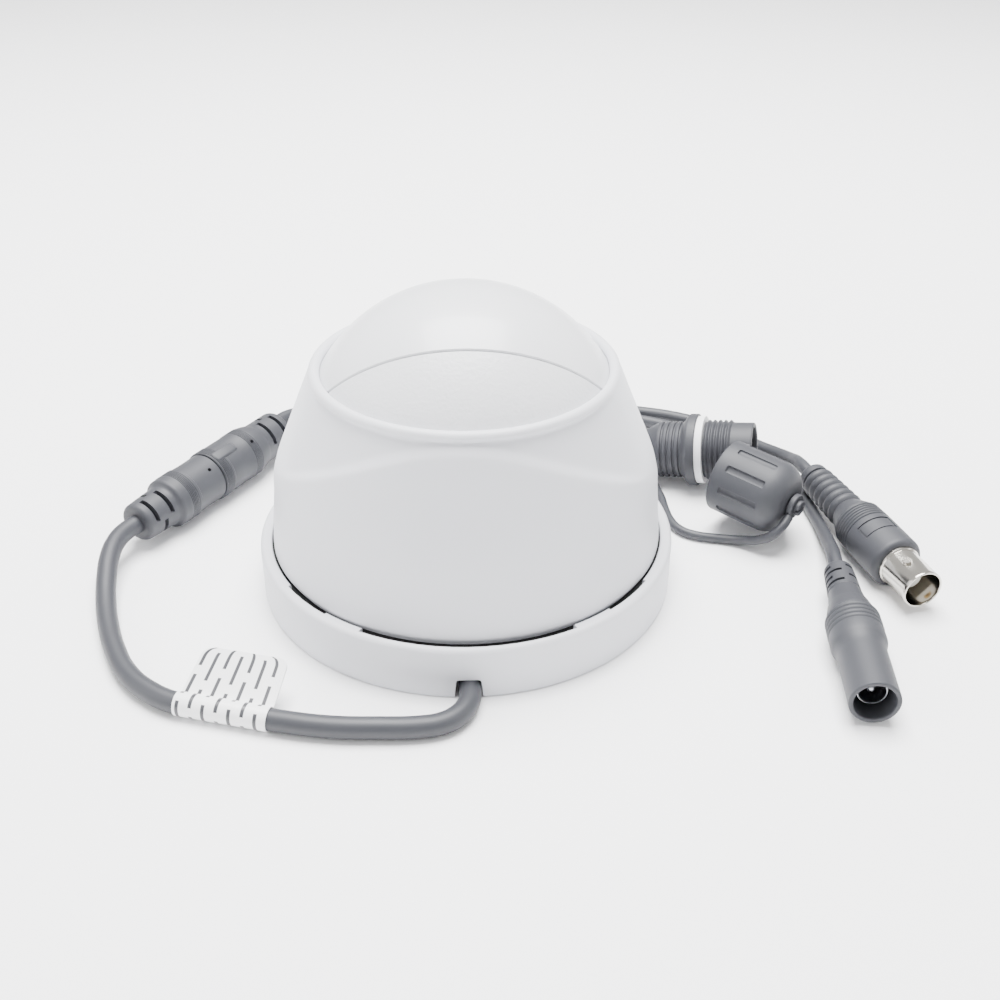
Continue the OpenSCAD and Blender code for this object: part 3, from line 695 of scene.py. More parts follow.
# Each cord's route in millimetres, as the CAD part lays it
MAIN_CABLE_ROUTE: list[Place] = [
    (0, -30, 2.35), (0, -36, 2.35), (0, -42, 2.35), (0.2, -46.5, 2.35), (0.3, -49.7, 2.35),
    (-0.5, -53.2, 2.35), (-2.5, -56.2, 2.35), (-5.5, -58.2, 2.35), (-9.5, -59.1, 2.4),
    (-18, -59.3, 2.5), (-28, -58.7, 2.5), (-38.5, -56.6, 2.5), (-40.4, -56.08, 2.5),
    (-45.5, -54.67, 2.5), (-52.5, -52.73, 2.5), (-57.6, -51.32, 2.5), (-59.5, -50.8, 2.5),
    (-66, -46.8, 2.5), (-71.5, -41, 2.4), (-76, -33, 2.4), (-79.4, -24.6, 2.5),
    (-81.8, -16.6, 3.2), (-83.3, -9, 4.6), (-83.9, -3, 5.9), (-83.6, 2.4, 6.7),
    (-82.24, 6.9, 6.9), (-80.4, 10, 6.9),
]
VIDEO_LEAD_ROUTE: list[Place] = [
    (-53.9, 58.5, 6.1), (-52.16, 61.43, 6.1), (-49.4, 65.4, 5.5), (-44.6, 69.9, 4.2),
    (-37.5, 73.8, 2.6), (-28, 76.7, 1.8), (-14, 78.6, 1.8), (0, 79.3, 1.8), (14, 79.5, 1.8),
    (28, 79.1, 1.8), (42, 77.8, 1.8), (54, 75.2, 1.8), (63.5, 71.3, 1.8), (71, 66, 1.8),
    (77.3, 59.6, 1.9), (82.3, 52.9, 2.4), (85.6, 47.4, 3.4), (87.7, 41.8, 4.9), (88.4, 36.6, 6.7),
    (88.85, 32.17, 7.48), (89.85, 28.3, 7.4),
]
POWER_LEAD_ROUTE: list[Place] = [
    (-50.59, 56.52, 6.1), (-48.85, 59.45, 6.1), (-45.8, 63.6, 5.1), (-41, 67.9, 3.6),
    (-34.8, 71, 2.4), (-26, 73.4, 1.75), (-13, 74.9, 1.75), (0, 75.5, 1.75), (14, 75.6, 1.75),
    (28, 75, 1.75), (41, 73.3, 1.75), (52, 70.2, 1.75), (61, 65.2, 1.75), (69, 58.7, 1.75),
    (76, 51.4, 1.75), (81.9, 44.5, 1.75), (85.8, 37.2, 1.75), (87.6, 29.5, 1.75),
    (88.5, 21.2, 1.75), (88.8, 13.5, 1.9), (88.4, 6.5, 2.8), (87.7, 0.6, 4), (86.9, -4.6, 5.4),
    (86.13, -8.82, 6.05), (85.7, -12.8, 6.05),
]
SPARE_LEAD_ROUTE: list[Place] = [
    (-52.2, 57.5, 9.4), (-50.5, 60.4, 9.4), (-46.1, 64.6, 8.6), (-40.5, 66.9, 7.4),
    (-33.5, 67.4, 5.4), (-26, 66.9, 3.1), (-17, 66.5, 1.9), (-5, 66.6, 1.75), (8, 66.2, 1.75),
    (20, 63.6, 1.75), (28.6, 59.6, 1.8), (34.4, 55, 2.6), (38.4, 50.7, 4.1), (42.2, 47, 5.9),
    (47.8, 43.9, 7.3),
]
CAP_TETHER_ROUTE: list[Place] = [
    (78.08, 5.34, 9.38), (76.3, 3.4, 8), (74, 2.6, 6), (71.4, 3.8, 3.9), (68.3, 6.2, 2.2),
    (64.6, 8, 1.35), (60.6, 9, 1.25), (56.8, 10.2, 1.25), (53.6, 12.6, 1.25), (51.8, 16.6, 1.25),
    (51.1, 22, 1.25), (50.9, 28, 1.25), (50.2, 33.2, 1.4), (49.4, 37, 2.4),
]


@dataclass
class LeadSet:
    """The cable, its three leads and the cap's tether."""

    cable_d: float = 4.6
    lead_d: float = 3.4
    tether_d: float = 2.3

    def cords(self) -> list[Cord]:
        """Pairs every cord with its route and with the pieces on it.

        Returns:
            The cords, in the order they are drawn.
        """
        return [
            Cord(
                "main_cable", self.cable_d, MAIN_CABLE_ROUTE, (0, -42, 2.35), "connector",
                ["wrap_label", "joint_plug_half", "joint_socket_half", "joint_seal"],
            ),
            Cord(
                "video_lead", self.lead_d, VIDEO_LEAD_ROUTE, (-53.9, 58.5, 6.1), "connector",
                ["video_plug_boot", "video_plug_barrel", "video_insulator", "video_contact"],
            ),
            Cord(
                "power_lead", self.lead_d, POWER_LEAD_ROUTE, (-50.59, 56.52, 6.1), "connector",
                ["power_socket_boot", "power_ring", "power_core", "power_pin"],
            ),
            Cord(
                "spare_lead", self.lead_d, SPARE_LEAD_ROUTE, (-52.2, 57.5, 9.4), "connector",
                ["threaded_coupler", "coupler_seal", "coupler_insert", "coupler_pins"],
            ),
            Cord(
                "cap_tether", self.tether_d, CAP_TETHER_ROUTE, (49.4, 37, 2.4), "fitting",
                ["sealing_cap", "cap_liner", "tether_eyes", "tether_pin"],
                "limp",
            ),
        ]

    def build(self) -> list[tuple[Cord, bpy.types.Object]]:
        """Draws every cord and returns it with its object."""
        return [(cord, cord.build()) for cord in self.cords()]


# ------------------------------------------------------------------ pieces on the cords


@dataclass
class WrapLabel:
    """A film label wrapped once round the cable, its ends glued back to back as a flag."""

    place: Place = (-59.5, -50.8, 2.5)
    heading: float = -15.44
    lean: float = 25.0
    cable_r: float = 2.3
    width: float = 20.1
    flag: float = 13.0
    film: float = 0.12
    taper: float = 1.5
    curl: float = 0.5
    corner: float = 2.0
    flag_steps: int = 30
    wrap_steps: int = 36
    rows: int = 12
    foot: float = 0.4
    snug: float = 0.13
    glue: float = 0.02

    def path(self) -> list[Point]:
        """Draws the film's middle line: in along the flag, round the cable and back out.

        Returns:
            Its points, across and up from the cable.
        """
        r = self.cable_r + self.snug
        flag = []
        for i in range(self.flag_steps + 1):
            out = r + 0.05 + (self.flag - r) * (1 - i / self.flag_steps)
            bend = self.curl * ((out - r) / (self.flag - r)) ** 2
            flag.append((out, bend))
        half = self.film / 2 + self.glue
        there = [(x, y + half) for x, y in flag]
        back = [(x, y - half) for x, y in reversed(flag)]
        opening = math.degrees(math.asin(half / r)) + 4
        turn = arc((0, 0), r, opening, FULL_TURN - opening, self.wrap_steps)
        return there + turn + back

    def build(self) -> bpy.types.Object:
        """Folds the label from one strip.

        Returns:
            The label piece.
        """
        points = self.path()
        strip = bmesh.new()
        verts = [strip.verts.new((x, y, self.foot)) for x, y in points]
        edges = [strip.edges.new(pair) for pair in zip(verts, verts[1:])]
        for _ in range(self.rows):
            grown = bmesh.ops.extrude_edge_only(strip, edges=edges)["geom"]
            new = [item for item in grown if isinstance(item, bmesh.types.BMVert)]
            edges = [
                item
                for item in grown
                if isinstance(item, bmesh.types.BMEdge) and all(v in new for v in item.verts)
            ]
            bmesh.ops.translate(strip, verts=new, vec=(0, 0, self.width / self.rows))
        layer = strip.loops.layers.uv.new("print")
        travel = {}
        run = 0.0
        for i, (x, y) in enumerate(points):
            run += math.dist(points[i - 1], (x, y)) if i else 0.0
            travel[(round(x, 4), round(y, 4))] = run
        for face in strip.faces:
            for loop in face.loops:
                co = loop.vert.co
                key = min(travel, key=lambda p: (p[0] - co.x) ** 2 + (p[1] - co.y) ** 2)
                loop[layer].uv = (travel[key] * MM, co.z * MM)
        for vert in strip.verts:
            out = max(0.0, (vert.co.x - self.cable_r) / (self.flag - self.cable_r))
            share = (vert.co.z - self.foot) / self.width
            past = min(self.corner, max(0.0, vert.co.x - self.flag + self.corner))
            inset = self.corner - math.sqrt(self.corner**2 - past**2)
            level = self.foot + inset + share * (self.width - 2 * inset)
            vert.co.z = level + self.taper * out**1.2 * (1 - share)
        bmesh.ops.recalc_face_normals(strip, faces=strip.faces)
        bmesh.ops.solidify(strip, geom=strip.faces[:], thickness=self.film)
        bmesh.ops.recalc_face_normals(strip, faces=strip.faces)
        seat = lay(self.place, self.heading) @ turned(90 + self.lean)
        return finish_piece(
            strip, "wrap_label", LABEL_FILM, seat, "base", ["sticker_label"]
        )


@dataclass
class InlineJoint:
    """The round joint in the cable: a plug half and a socket half."""

    place: Place = (-80.4, 10.0, 6.9)
    heading: float = 59.3
    length: float = 55.2
    split: float = 25.9
    radius: float = 6.6
    plug_tip: float = 4.9
    socket_tip: float = 5.2
    ring_depth: float = 0.24
    slot_turn: float = 40.0
    dimple_turn: float = 40.0
    tab_turn: float = 24.0
    tab: Place = (1.2, 3.0, 7.6)

    def seat(self) -> Matrix:
        """Returns where the joint lies."""
        return lay(self.place, self.heading)

    def slots(self, radius: float, first: float, step: float) -> list[bmesh.types.BMesh]:
        """Makes the flex slots of a strain relief, in rows that overlap round it.

        Args:
            radius: radius of the relief's tip.
            first: height of the first row.
            step: distance between rows.

        Returns:
            The cutters.
        """
        made = []
        for row in range(3):
            z = first + row * step
            for side in range(2):
                turn = self.slot_turn + 180 * side + 90 * (row % 2)
                made.append(band(radius - 1.5, radius + 4, z - 0.6, z + 0.6, turn, 84))
        return made

    def dimple(self, radius: float, z: float) -> bmesh.types.BMesh:
        """Makes the drill for a small blind dimple in a side of that radius."""
        side = moved(0, 0, z) @ turned(self.dimple_turn) @ moved(-radius - 1, 0, 0)
        return rod(0.5, 3.0, side @ turned(90, "Y"))

    def plug_half(self) -> bpy.types.Object:
        """Builds the half on the cable's side.

        Returns:
            The finished piece.
        """
        r = self.radius
        outline = [(0.0, 0.0), (self.plug_tip - 1.4, 0.0)]
        outline += arc((self.plug_tip - 1.2, 1.2), 1.2, -80, 0)
        outline += [(5.15, 5.5), (5.3, 9.3), (5.5, 9.8)]
        outline += arc((r - 1.0, 11.0), 0.9, -70, 0, 5)
        outline += [(r - 0.1, 12.2), (r, 12.5), (r, 13.2)]
        outline += ridges(13.3, 15.6, 5, r - self.ring_depth, self.ring_depth)
        outline += [(r, 15.9), (r, 16.6), (r - 0.2, 16.8), (r - 0.28, 21.0)]
        outline += [(r - 0.2, self.split - 0.35), (r - 0.5, self.split - 0.1)]
        outline += [(0.0, self.split - 0.1)]
        cuts = self.slots(self.plug_tip, 2.7, 2.4) + [self.dimple(r, 22.9)]
        body = combine(spin(outline), cuts)
        return moulding(body, "joint_plug_half", self.seat(), "plug_housing")

    def socket_half(self) -> bpy.types.Object:
        """Builds the half on the leads' side, with its arrow tab left plain.

        Returns:
            The finished piece.
        """
        r = self.radius + 0.15
        end = self.length
        outline = [(0.0, self.split), (r - 0.4, self.split)]
        outline += arc((r - 0.3, self.split + 0.3), 0.3, -90, 0, 4)
        outline += ridges(26.5, 28.6, 5, r - self.ring_depth, self.ring_depth)
        outline += [(r, 28.9), (r, 29.4), (r - 0.15, 29.6), (r - 0.1, 33.0), (r - 0.15, 37.2)]
        outline += [(r, 37.5), (r, 38.0)]
        outline += ridges(38.2, 40.4, 5, r - self.ring_depth, self.ring_depth)
        outline += [(r, 40.7), (r, 41.3), (r - 0.45, 43.6), (r - 0.75, 44.6)]
        outline += [(5.75, 45.2), (5.7, 49.5)]
        outline += arc((self.socket_tip - 0.9, end - 1.4), 1.4, 0, 80)
        outline += [(self.socket_tip - 1.6, end), (0.0, end)]
        cuts = self.slots(self.socket_tip, 47.4, 2.4) + [self.dimple(r, 39.6)]
        body = combine(spin(outline), cuts)
        tab_seat = turned(self.tab_turn) @ moved(-r + 0.35, 0, 30.4)
        body = combine(body, [block(self.tab, tab_seat, 0.55)], "UNION")
        return moulding(body, "joint_socket_half", self.seat(), "socket_housing")


@dataclass
class VideoPlug:
    """The video lead's plug: a ribbed boot and a bright bayonet barrel."""

    place: Place = (89.85, 28.3, 7.4)
    heading: float = -75.5
    pitch: float = -1.2
    boot_r: float = 6.4
    relief: float = 18.6
    body_end: float = 41.0
    end: float = 51.4
    barrel_r: float = 4.75
    wall: float = 0.5
    barrel_depth: float = 5.0
    panel_turn: float = 194.0
    lug_turn: float = 200.0
    lug_r: float = 0.92
    lug_foot_r: float = 1.25

    def seat(self) -> Matrix:
        """Returns where the plug lies."""
        return lay(self.place, self.heading, self.pitch)

    def boot(self) -> bpy.types.Object:
        """Builds the boot: ringed relief, finely ringed cone and a sunk blank panel.

        Returns:
            The finished piece.
        """
        r = self.boot_r
        outline = [(0.0, 0.0), (2.6, 0.0)] + arc((2.9, 0.9), 0.9, -80, 0, 5)
        outline += [(3.85, 1.6), (3.85, 2.6)]
        outline += ridges(2.8, self.relief - 0.6, 6, 3.3, 0.85, 3.8)
        cone = self.relief
        outline += [(4.3, cone), (r - 0.75, cone + 3.4), (r - 0.45, cone + 4.2)]
        outline += ridges(cone + 4.4, cone + 9.6, 6, r - 0.55, 0.36, r - 0.36)
        outline += [(r - 0.05, cone + 10.0), (r, cone + 11.0), (r, self.body_end - 1.6)]
        outline += arc((r - 1.4, self.body_end - 1.4), 1.4, 0, 85, 6)
        foot = self.body_end - self.barrel_depth
        outline += [(self.barrel_r, self.body_end), (self.barrel_r, foot), (0.0, foot)]
        panel = band(r - 0.3, r + 1, cone + 11.6, cone + 15.9, self.panel_turn, 78)
        body = combine(spin(outline, segments=112), [panel])
        rim = band(r - 0.35, r - 0.08, cone + 12.1, cone + 15.4, self.panel_turn, 70)
        body = combine(body, [rim], "UNION")
        return moulding(body, "video_plug_boot", self.seat(), "video_boot")

    def barrel(self) -> bpy.types.Object:
        """Builds the plated barrel with its collar, rolled mouth and two bayonet lugs.

        Returns:
            The finished piece.
        """
        r = self.barrel_r
        inner = r - self.wall
        foot = self.body_end - self.barrel_depth
        outline = [(2.45, foot + 0.1), (r - 0.05, foot + 0.1), (r - 0.05, self.body_end)]
        outline += [(r + 0.3, self.body_end + 0.05), (r + 0.3, self.body_end + 0.7)]
        outline += [(r, self.body_end + 0.9)]
        outline += [(r - 0.02, self.end - 1.0), (r + 0.06, self.end - 0.8)]
        outline += arc((r - self.wall / 2 + 0.03, self.end - 0.26), 0.26, 0, 180, 8)
        outline += [(inner, self.end - 1.0), (inner, self.body_end - 1), (2.45, self.body_end - 1)]
        body = spin(outline, True, 96)
        lugs = []
        for side in (0, 180):
            turn = turned(side + self.lug_turn) @ moved(0, 0, self.body_end + 5)
            where = turn @ turned(90, "Y") @ moved(0, 0, r - 0.12)
            lugs += [rod(self.lug_r, 0.75, where, 28), rod(self.lug_foot_r, 0.18, where, 28)]
        body = combine(body, lugs, "UNION")
        return finish_piece(
            body, "video_plug_barrel", NICKEL, self.seat(), "base", ["video_barrel"]
        )


@dataclass
class PowerSocket:
    """The power lead's socket."""

    place: Place = (85.7, -12.8, 6.05)
    heading: float = -96.2
    neck: float = 14.6
    shoulder: float = 18.4
    band_end: float = 30.0
    end: float = 46.2
    body_r: float = 6.0
    mouth_r: float = 5.25
    wall: float = 1.0
    slot_rows: int = 4
    slot_step: float = 2.0

    def build(self) -> bpy.types.Object:
        """Builds the boot: slotted relief, neck, ringed shoulder and smooth sleeve.

        Returns:
            The boot piece.
        """
        r = self.body_r
        mouth = self.mouth_r
        outline = [(0.0, 0.0), (2.2, 0.0)] + arc((2.5, 0.8), 0.8, -80, 0, 5)
        outline += [(3.55, 4.5), (3.75, 9.2), (3.55, 9.5), (3.7, 9.8), (4.3, self.neck - 0.3)]
        rings = self.shoulder
        sleeve = self.band_end
        outline += [(4.6, self.neck + 0.2), (r - 0.6, rings - 0.2), (r - 0.35, rings + 0.7)]
        outline += ridges(rings + 0.9, rings + 6.5, 4, r - 0.45, 0.42, r - 0.38)
        outline += [(r - 0.05, rings + 6.8), (r - 0.02, sleeve - 2.0), (r - 0.35, sleeve - 0.9)]
        outline += [(mouth + 0.12, sleeve - 0.4), (mouth, sleeve + 2)]
        outline += [(mouth + 0.02, self.end - 0.5)]
        outline += arc((mouth - 0.36, self.end - 0.36), 0.38, 0, 90, 5)
        outline += arc((mouth - self.wall + 0.3, self.end - 0.3), 0.3, 90, 180, 4)
        outline += [(mouth - self.wall, sleeve + 1), (0.0, sleeve + 1)]
        cuts = []
        for row in range(self.slot_rows):
            z = 2.2 + row * self.slot_step
            for side in range(2):
                turn = 105 - 40 * (row % 2) + 180 * side
                cuts.append(band(2.6, 6, z - 0.42, z + 0.42, turn, 120))
        body = combine(spin(outline, segments=112), cuts)
        return moulding(body, "power_socket_boot", lay(self.place, self.heading), "power_boot")


@dataclass
class Coupler:
    """The spare lead's threaded coupler with its sealing cap and tether eyes."""

    place: Place = (61.0, 38.9, 9.63)
    heading: float = -19.0
    pitch: float = 8.5
    cap_place: Place = (65.2, 20.4, 12.6)
    cap_heading: float = -42.0
    cap_pitch: float = -4.0
    flange_r: float = 9.5
    crest: float = 7.95
    root: float = 7.35
    bore: float = 6.0
    back: float = -14.0
    front: float = 15.5
    cap_r: float = 9.2
    cap_len: float = 18.6
    ribs: int = 4
    rib_step: float = 1.6
    threads: int = 5
    thread_step: float = 1.4
    cap_grooves: int = 10

    def seat(self) -> Matrix:
        """Returns where the coupler lies."""
        return lay(self.place, self.heading, self.pitch)

    def cap_seat(self) -> Matrix:
        """Returns where its cap lies."""
        return lay(self.cap_place, self.cap_heading, self.cap_pitch)

    def body(self) -> bpy.types.Object:
        """Builds the coupler: ribbed rear, flange, thread and open socket.

        Returns:
            The finished piece.
        """
        outline = [(0.0, self.back), (4.7, self.back)]
        outline += arc((4.6, self.back + 0.6), 0.6, -60, 10, 4) + [(7.0, -9.8)]
        for i in range(self.ribs):
            z = -9.3 + self.rib_step * i
            outline += [(7.3, z), (7.42, z + 0.2), (7.42, z + 0.85), (7.3, z + 1.0)]
            outline += [(6.95, z + 1.08), (6.95, z + 1.4)]
        outline += [(7.42, -2.9), (7.5, -2.7), (self.flange_r - 0.35, -1.6)]
        outline += arc((self.flange_r - 0.4, -1.0), 0.4, -40, 0, 4)
        outline += arc((self.flange_r - 0.3, 0.7), 0.3, 0, 90, 4)
        outline += [(self.root, 1.0), (self.root, 3.1)]
        for i in range(self.threads):
            z = 3.2 + self.thread_step * i
            outline += [(self.root, z), (self.crest - 0.08, z + 0.42), (self.crest, z + 0.52)]
            outline += [(self.crest, z + 0.68), (self.crest - 0.08, z + 0.78)]
            outline += [(self.root, z + 1.2)]
        outline += [(7.3, 10.6), (7.3, self.front - 0.3)]
        outline += arc((7.0, self.front - 0.3), 0.3, 0, 90, 4)
        outline += [(self.bore + 0.2, self.front), (self.bore, self.front - 0.25)]
        outline += [(self.bore, 2.5), (0.0, 2.5)]
        key = block((1.4, 1.6, 10.0), moved(-self.bore - 0.1, 0, self.front - 4.0))
        body = combine(spin(outline, segments=112), [key])
        return moulding(body, "threaded_coupler", self.seat(), "coupler_body")

    def cap(self) -> bpy.types.Object:
        """Builds the domed cap with its long finger grooves.

        Returns:
            The finished piece.
        """
        r = self.cap_r
        shoulder = self.cap_len - 5.2
        outline = [(r - 1.2, 0.0), (r - 0.4, 0.0)] + arc((r - 0.4, 0.4), 0.4, -80, 0, 4)
        outline += [(r, 1.4), (r - 0.05, shoulder - 3)]
        dome = arc((0.0, 0.0), 1.0, 0, 80, 10)
        outline += [(r - 0.1 - 4.5 * (1 - across), shoulder + 5 * up) for across, up in dome]
        outline += [(3.6, self.cap_len - 0.03), (3.0, self.cap_len), (0.0, self.cap_len)]
        outline += [(0.0, self.cap_len - 8), (8.0, self.cap_len - 8), (8.0, 0.0)]
        cuts = []
        for i in range(self.cap_grooves):
            where = turned(FULL_TURN / self.cap_grooves * i + 10) @ moved(r + 0.25, 0, 8.4)
            cuts.append(block((1.6, 1.9, 10.6), where, 0.45))
        body = combine(spin(outline, True, 120), cuts)
        return moulding(body, "sealing_cap", self.cap_seat(), "screw_cap")

    def eyes(self) -> bpy.types.Object:
        """Builds the tether's two moulded eyes.

        Returns:
            The finished piece.
        """
        small = arc((2.8, 19.2), 0.32, -90, 0, 4) + arc((2.8, 20.0), 0.32, 0, 90, 4)
        small += [(1.2, 20.32), (1.2, 18.88)]
        made = spin(small, True, 64)
        bmesh.ops.transform(made, matrix=self.cap_seat(), verts=made.verts)
        low = self.back - 1.8
        large = arc((6.55, low + 0.35), 0.35, -90, 0, 4) + arc((6.55, low + 1.45), 0.35, 0, 90, 4)
        large += [(5.1, low + 1.8), (5.1, low)]
        big = spin(large, True, 80)
        bmesh.ops.transform(big, matrix=self.seat(), verts=big.verts)
        part = bpy.data.meshes.new("work_eye")
        big.to_mesh(part)
        big.free()
        made.from_mesh(part)
        bpy.data.meshes.remove(part)
        return moulding(made, "tether_eyes", Matrix.Identity(4), "tether_rings")

    def screw(self) -> bpy.types.Object:
        """Builds the slotted pin that holds the tether's eye on the cap.

        Returns:
            The finished piece.
        """
        outline = [(0.0, 15.2), (1.0, 15.2), (1.0, 20.36), (1.85, 20.36)]
        outline += arc((1.6, 21.15), 0.35, 0, 80, 4) + [(0.0, 21.6)]
        slot = block((0.55, 5, 1.2), moved(0, 0, 21.4))
        body = combine(spin(outline, segments=48), [slot])
        return moulding(body, "tether_pin", self.cap_seat(), "tether_screw")


# ------------------------------------------------------------------ housing


@dataclass
class Housing:
    """The mounting base and the faceted enclosure that turns on it.

    The facets run from the soft foot to a firm ridge over `firm_zone`. A shallow groove above
    the ridge sharpens its highlight; it comes in over `groove_zone` and, to the front and back,
    over `groove_side`. `lip_cuts` are first and last direction from the notch, and depth.
    """

    ball_r: float = 37.0
    ball_z: float = 33.55
    ball_gap: float = 0.4
    base_r: float = 48.0
    base_in_r: float = 45.3
    base_h: float = 12.3
    floor_t: float = 2.4
    ledge_h: float = 5.0
    feed_r: float = 9.0
    foot_r: float = 44.9
    foot_z: float = 5.3
    flange_r: float = 40.8
    skirt_z: float = 12.9
    skirt_taper: float = 0.072
    cone_flare: float = 0.415
    rim_r: float = 31.5
    rim_w: float = 2.5
    wall: float = 2.0
    facet_skin: float = 1.5
    facet_tilt: float = 8.9
    facet_taper: float = 7.55
    facet_back: float = 5.0
    facet_depth: float = 1.55
    ridge_round: float = 0.35
    foot_round: float = 2.4
    groove: float = 1.05
    edge_z: float = 12.2
    turn: float = -2.4
    firm_zone: Point = (24.0, 31.0)
    groove_zone: Point = (29.0, 36.0)
    groove_side: Point = (0.3, 0.62)
    ring_posts: Sequence[float] = (90, 210, 330)
    ring_post_r: float = 37.6
    wall_screws: Sequence[float] = (45, 135, 225, 315)
    wall_screw_r: float = 33.0
    clamp_x: float = 6.6
    lip_cuts: Sequence[Place] = ((-29, 29, 1.4), (41, 58, 0.8), (-58, -41, 0.8))
    notch_w: float = 6.1
    notch_top_w: float = 5.3
    notch_h: float = 4.7
    notch_round: float = 0.7
    rim_z: float = field(init=False)
    shoulder_z: float = field(init=False)

    def __post_init__(self) -> None:
        """Works out the rim's and the shoulder's heights."""
        reach = (self.ball_r + self.ball_gap) ** 2 - self.rim_r**2
        self.rim_z = self.ball_z + math.sqrt(reach) - self.rim_w / 4
        rise = self.rim_r + self.rim_w + self.cone_flare * self.rim_z
        rise -= self.foot_r + self.skirt_taper * self.skirt_z
        self.shoulder_z = rise / (self.cone_flare - self.skirt_taper)

    def outer_radius(self, z: float) -> float:
        """Radius of the enclosure's round shape, before its facets.

        Args:
            z: height.

        Returns:
            The radius at that height.
        """
        if z <= self.skirt_z:
            return self.foot_r
        skirt = self.foot_r - self.skirt_taper * (z - self.skirt_z)
        cone = self.rim_r + self.rim_w + self.cone_flare * (self.rim_z - z)
        return blend_least(skirt, cone, 1.6)

    def facet_radius(self, angle: float, z: float, way: int) -> float:
        """Distance from the axis to a facet's cone.

        Args:
            angle: direction from the axis, in radians from +X.
            z: height.
            way: 1 or -1 for the two cones.

        Returns:
            The distance in that direction at that height.
        """
        lean = math.radians(self.facet_tilt + self.facet_taper)
        taper = math.radians(self.facet_taper)
        reach = self.ball_r + self.facet_skin + self.facet_back * math.cos(lean)
        widest = reach / math.cos(taper)
        slope = math.tan(taper)
        tilt = math.radians(self.facet_tilt)
        axis = Vector((0.0, way * math.sin(tilt), math.cos(tilt)))
        out = Vector((math.cos(angle), math.sin(angle), 0.0))
        foot = Vector((0.0, -way * self.facet_back, z - self.ball_z))
        out_a, foot_a = out.dot(axis), foot.dot(axis)
        a = 1 - out_a**2 * (1 + slope**2)
        b = 2 * (out.dot(foot) - out_a * foot_a * (1 + slope**2) + widest * slope * out_a)
        c = foot.dot(foot) - foot_a**2 * (1 + slope**2) - widest**2 + 2 * widest * slope * foot_a
        return (-b + math.sqrt(max(0.0, b * b - 4 * a * c))) / (2 * a)

    def least_inner(self, z: float) -> float:
        """Smallest radius that keeps the enclosure clear of the ball.

        Args:
            z: height.

        Returns:
            The radius at that height.
        """
        room = (self.ball_r + self.ball_gap) ** 2 - (z - self.ball_z) ** 2
        near = math.sqrt(max(0.0, room))
        return max(self.rim_r, near) if z > self.ball_z else near

    def shell_outline(self) -> list[Point]:
        """Draws the enclosure's section: foot, skirt, rolled rim and the wall's inside.

        Returns:
            The closed outline.
        """
        steps = 84
        rise = [self.skirt_z + (self.rim_z - self.skirt_z) * i / steps for i in range(steps + 1)]
        step_in = self.foot_r - 1.0
        outline = [(self.flange_r, self.foot_z), (step_in, self.foot_z)]
        outline += [(step_in, self.edge_z - 0.1), (self.foot_r - 0.2, self.edge_z - 0.05)]
        outline += [(self.foot_r, self.edge_z + 0.15)]
        outline += [(self.outer_radius(z), z) for z in rise]
        middle = self.rim_r + self.rim_w / 2
        outline += arc((middle, self.rim_z), self.rim_w / 2, 10, 180, 12)
        inner = [z for z in reversed(rise) if z < self.rim_z - 1.2]
        outline += [(max(self.outer_radius(z) - self.wall, self.least_inner(z)), z) for z in inner]
        top = self.foot_z + self.wall
        return outline + [(self.foot_r - self.wall, top), (self.flange_r, top)]

    def pressed_radius(self, angle: float, z: float) -> float:
        """Radius of the enclosure with its facets and the groove above their ridge.

        Args:
            angle: direction from the axis, in radians from +X.
            z: height.

        Returns:
            The radius in that direction at that height.
        """
        round_shape = self.outer_radius(z)
        facet = min(self.facet_radius(angle, z, 1), self.facet_radius(angle, z, -1))
        past = facet - round_shape
        facet = round_shape + self.facet_depth * past
        looser = (self.foot_round - self.ridge_round) * (1 - ease(z, *self.firm_zone))
        soft = self.ridge_round + looser
        pressed = blend_least(round_shape, facet, soft)
        front = ease(abs(math.sin(angle)), *self.groove_side) * ease(z, *self.groove_zone)
        at_rim = 1 - ease(z, self.rim_z - 0.9, self.rim_z + 0.1)
        return pressed - self.groove * ease(past, -0.02, 0.34) * front * at_rim

    def enclosure(self) -> bpy.types.Object:
        """Builds the enclosure, spun as a round shell and then pressed in to its facets.

        Returns:
            The finished piece.
        """
        shell = spin(self.shell_outline(), True, 240)
        for vert in shell.verts:
            x, y, z = vert.co
            radius = math.hypot(x, y)
            if z < self.skirt_z - 0.1 or radius < self.rim_r - 0.01:
                continue
            drop = self.outer_radius(z) - self.pressed_radius(math.atan2(y, x), z)
            kept = min(max(radius - drop, self.least_inner(z)), radius)
            vert.co.x *= kept / radius
            vert.co.y *= kept / radius
        bmesh.ops.recalc_face_normals(shell, faces=shell.faces)
        return finish_piece(
            shell, "faceted_enclosure", WHITE_ABS, turned(self.turn), "turret", ["enclosure"],
            50,
        )

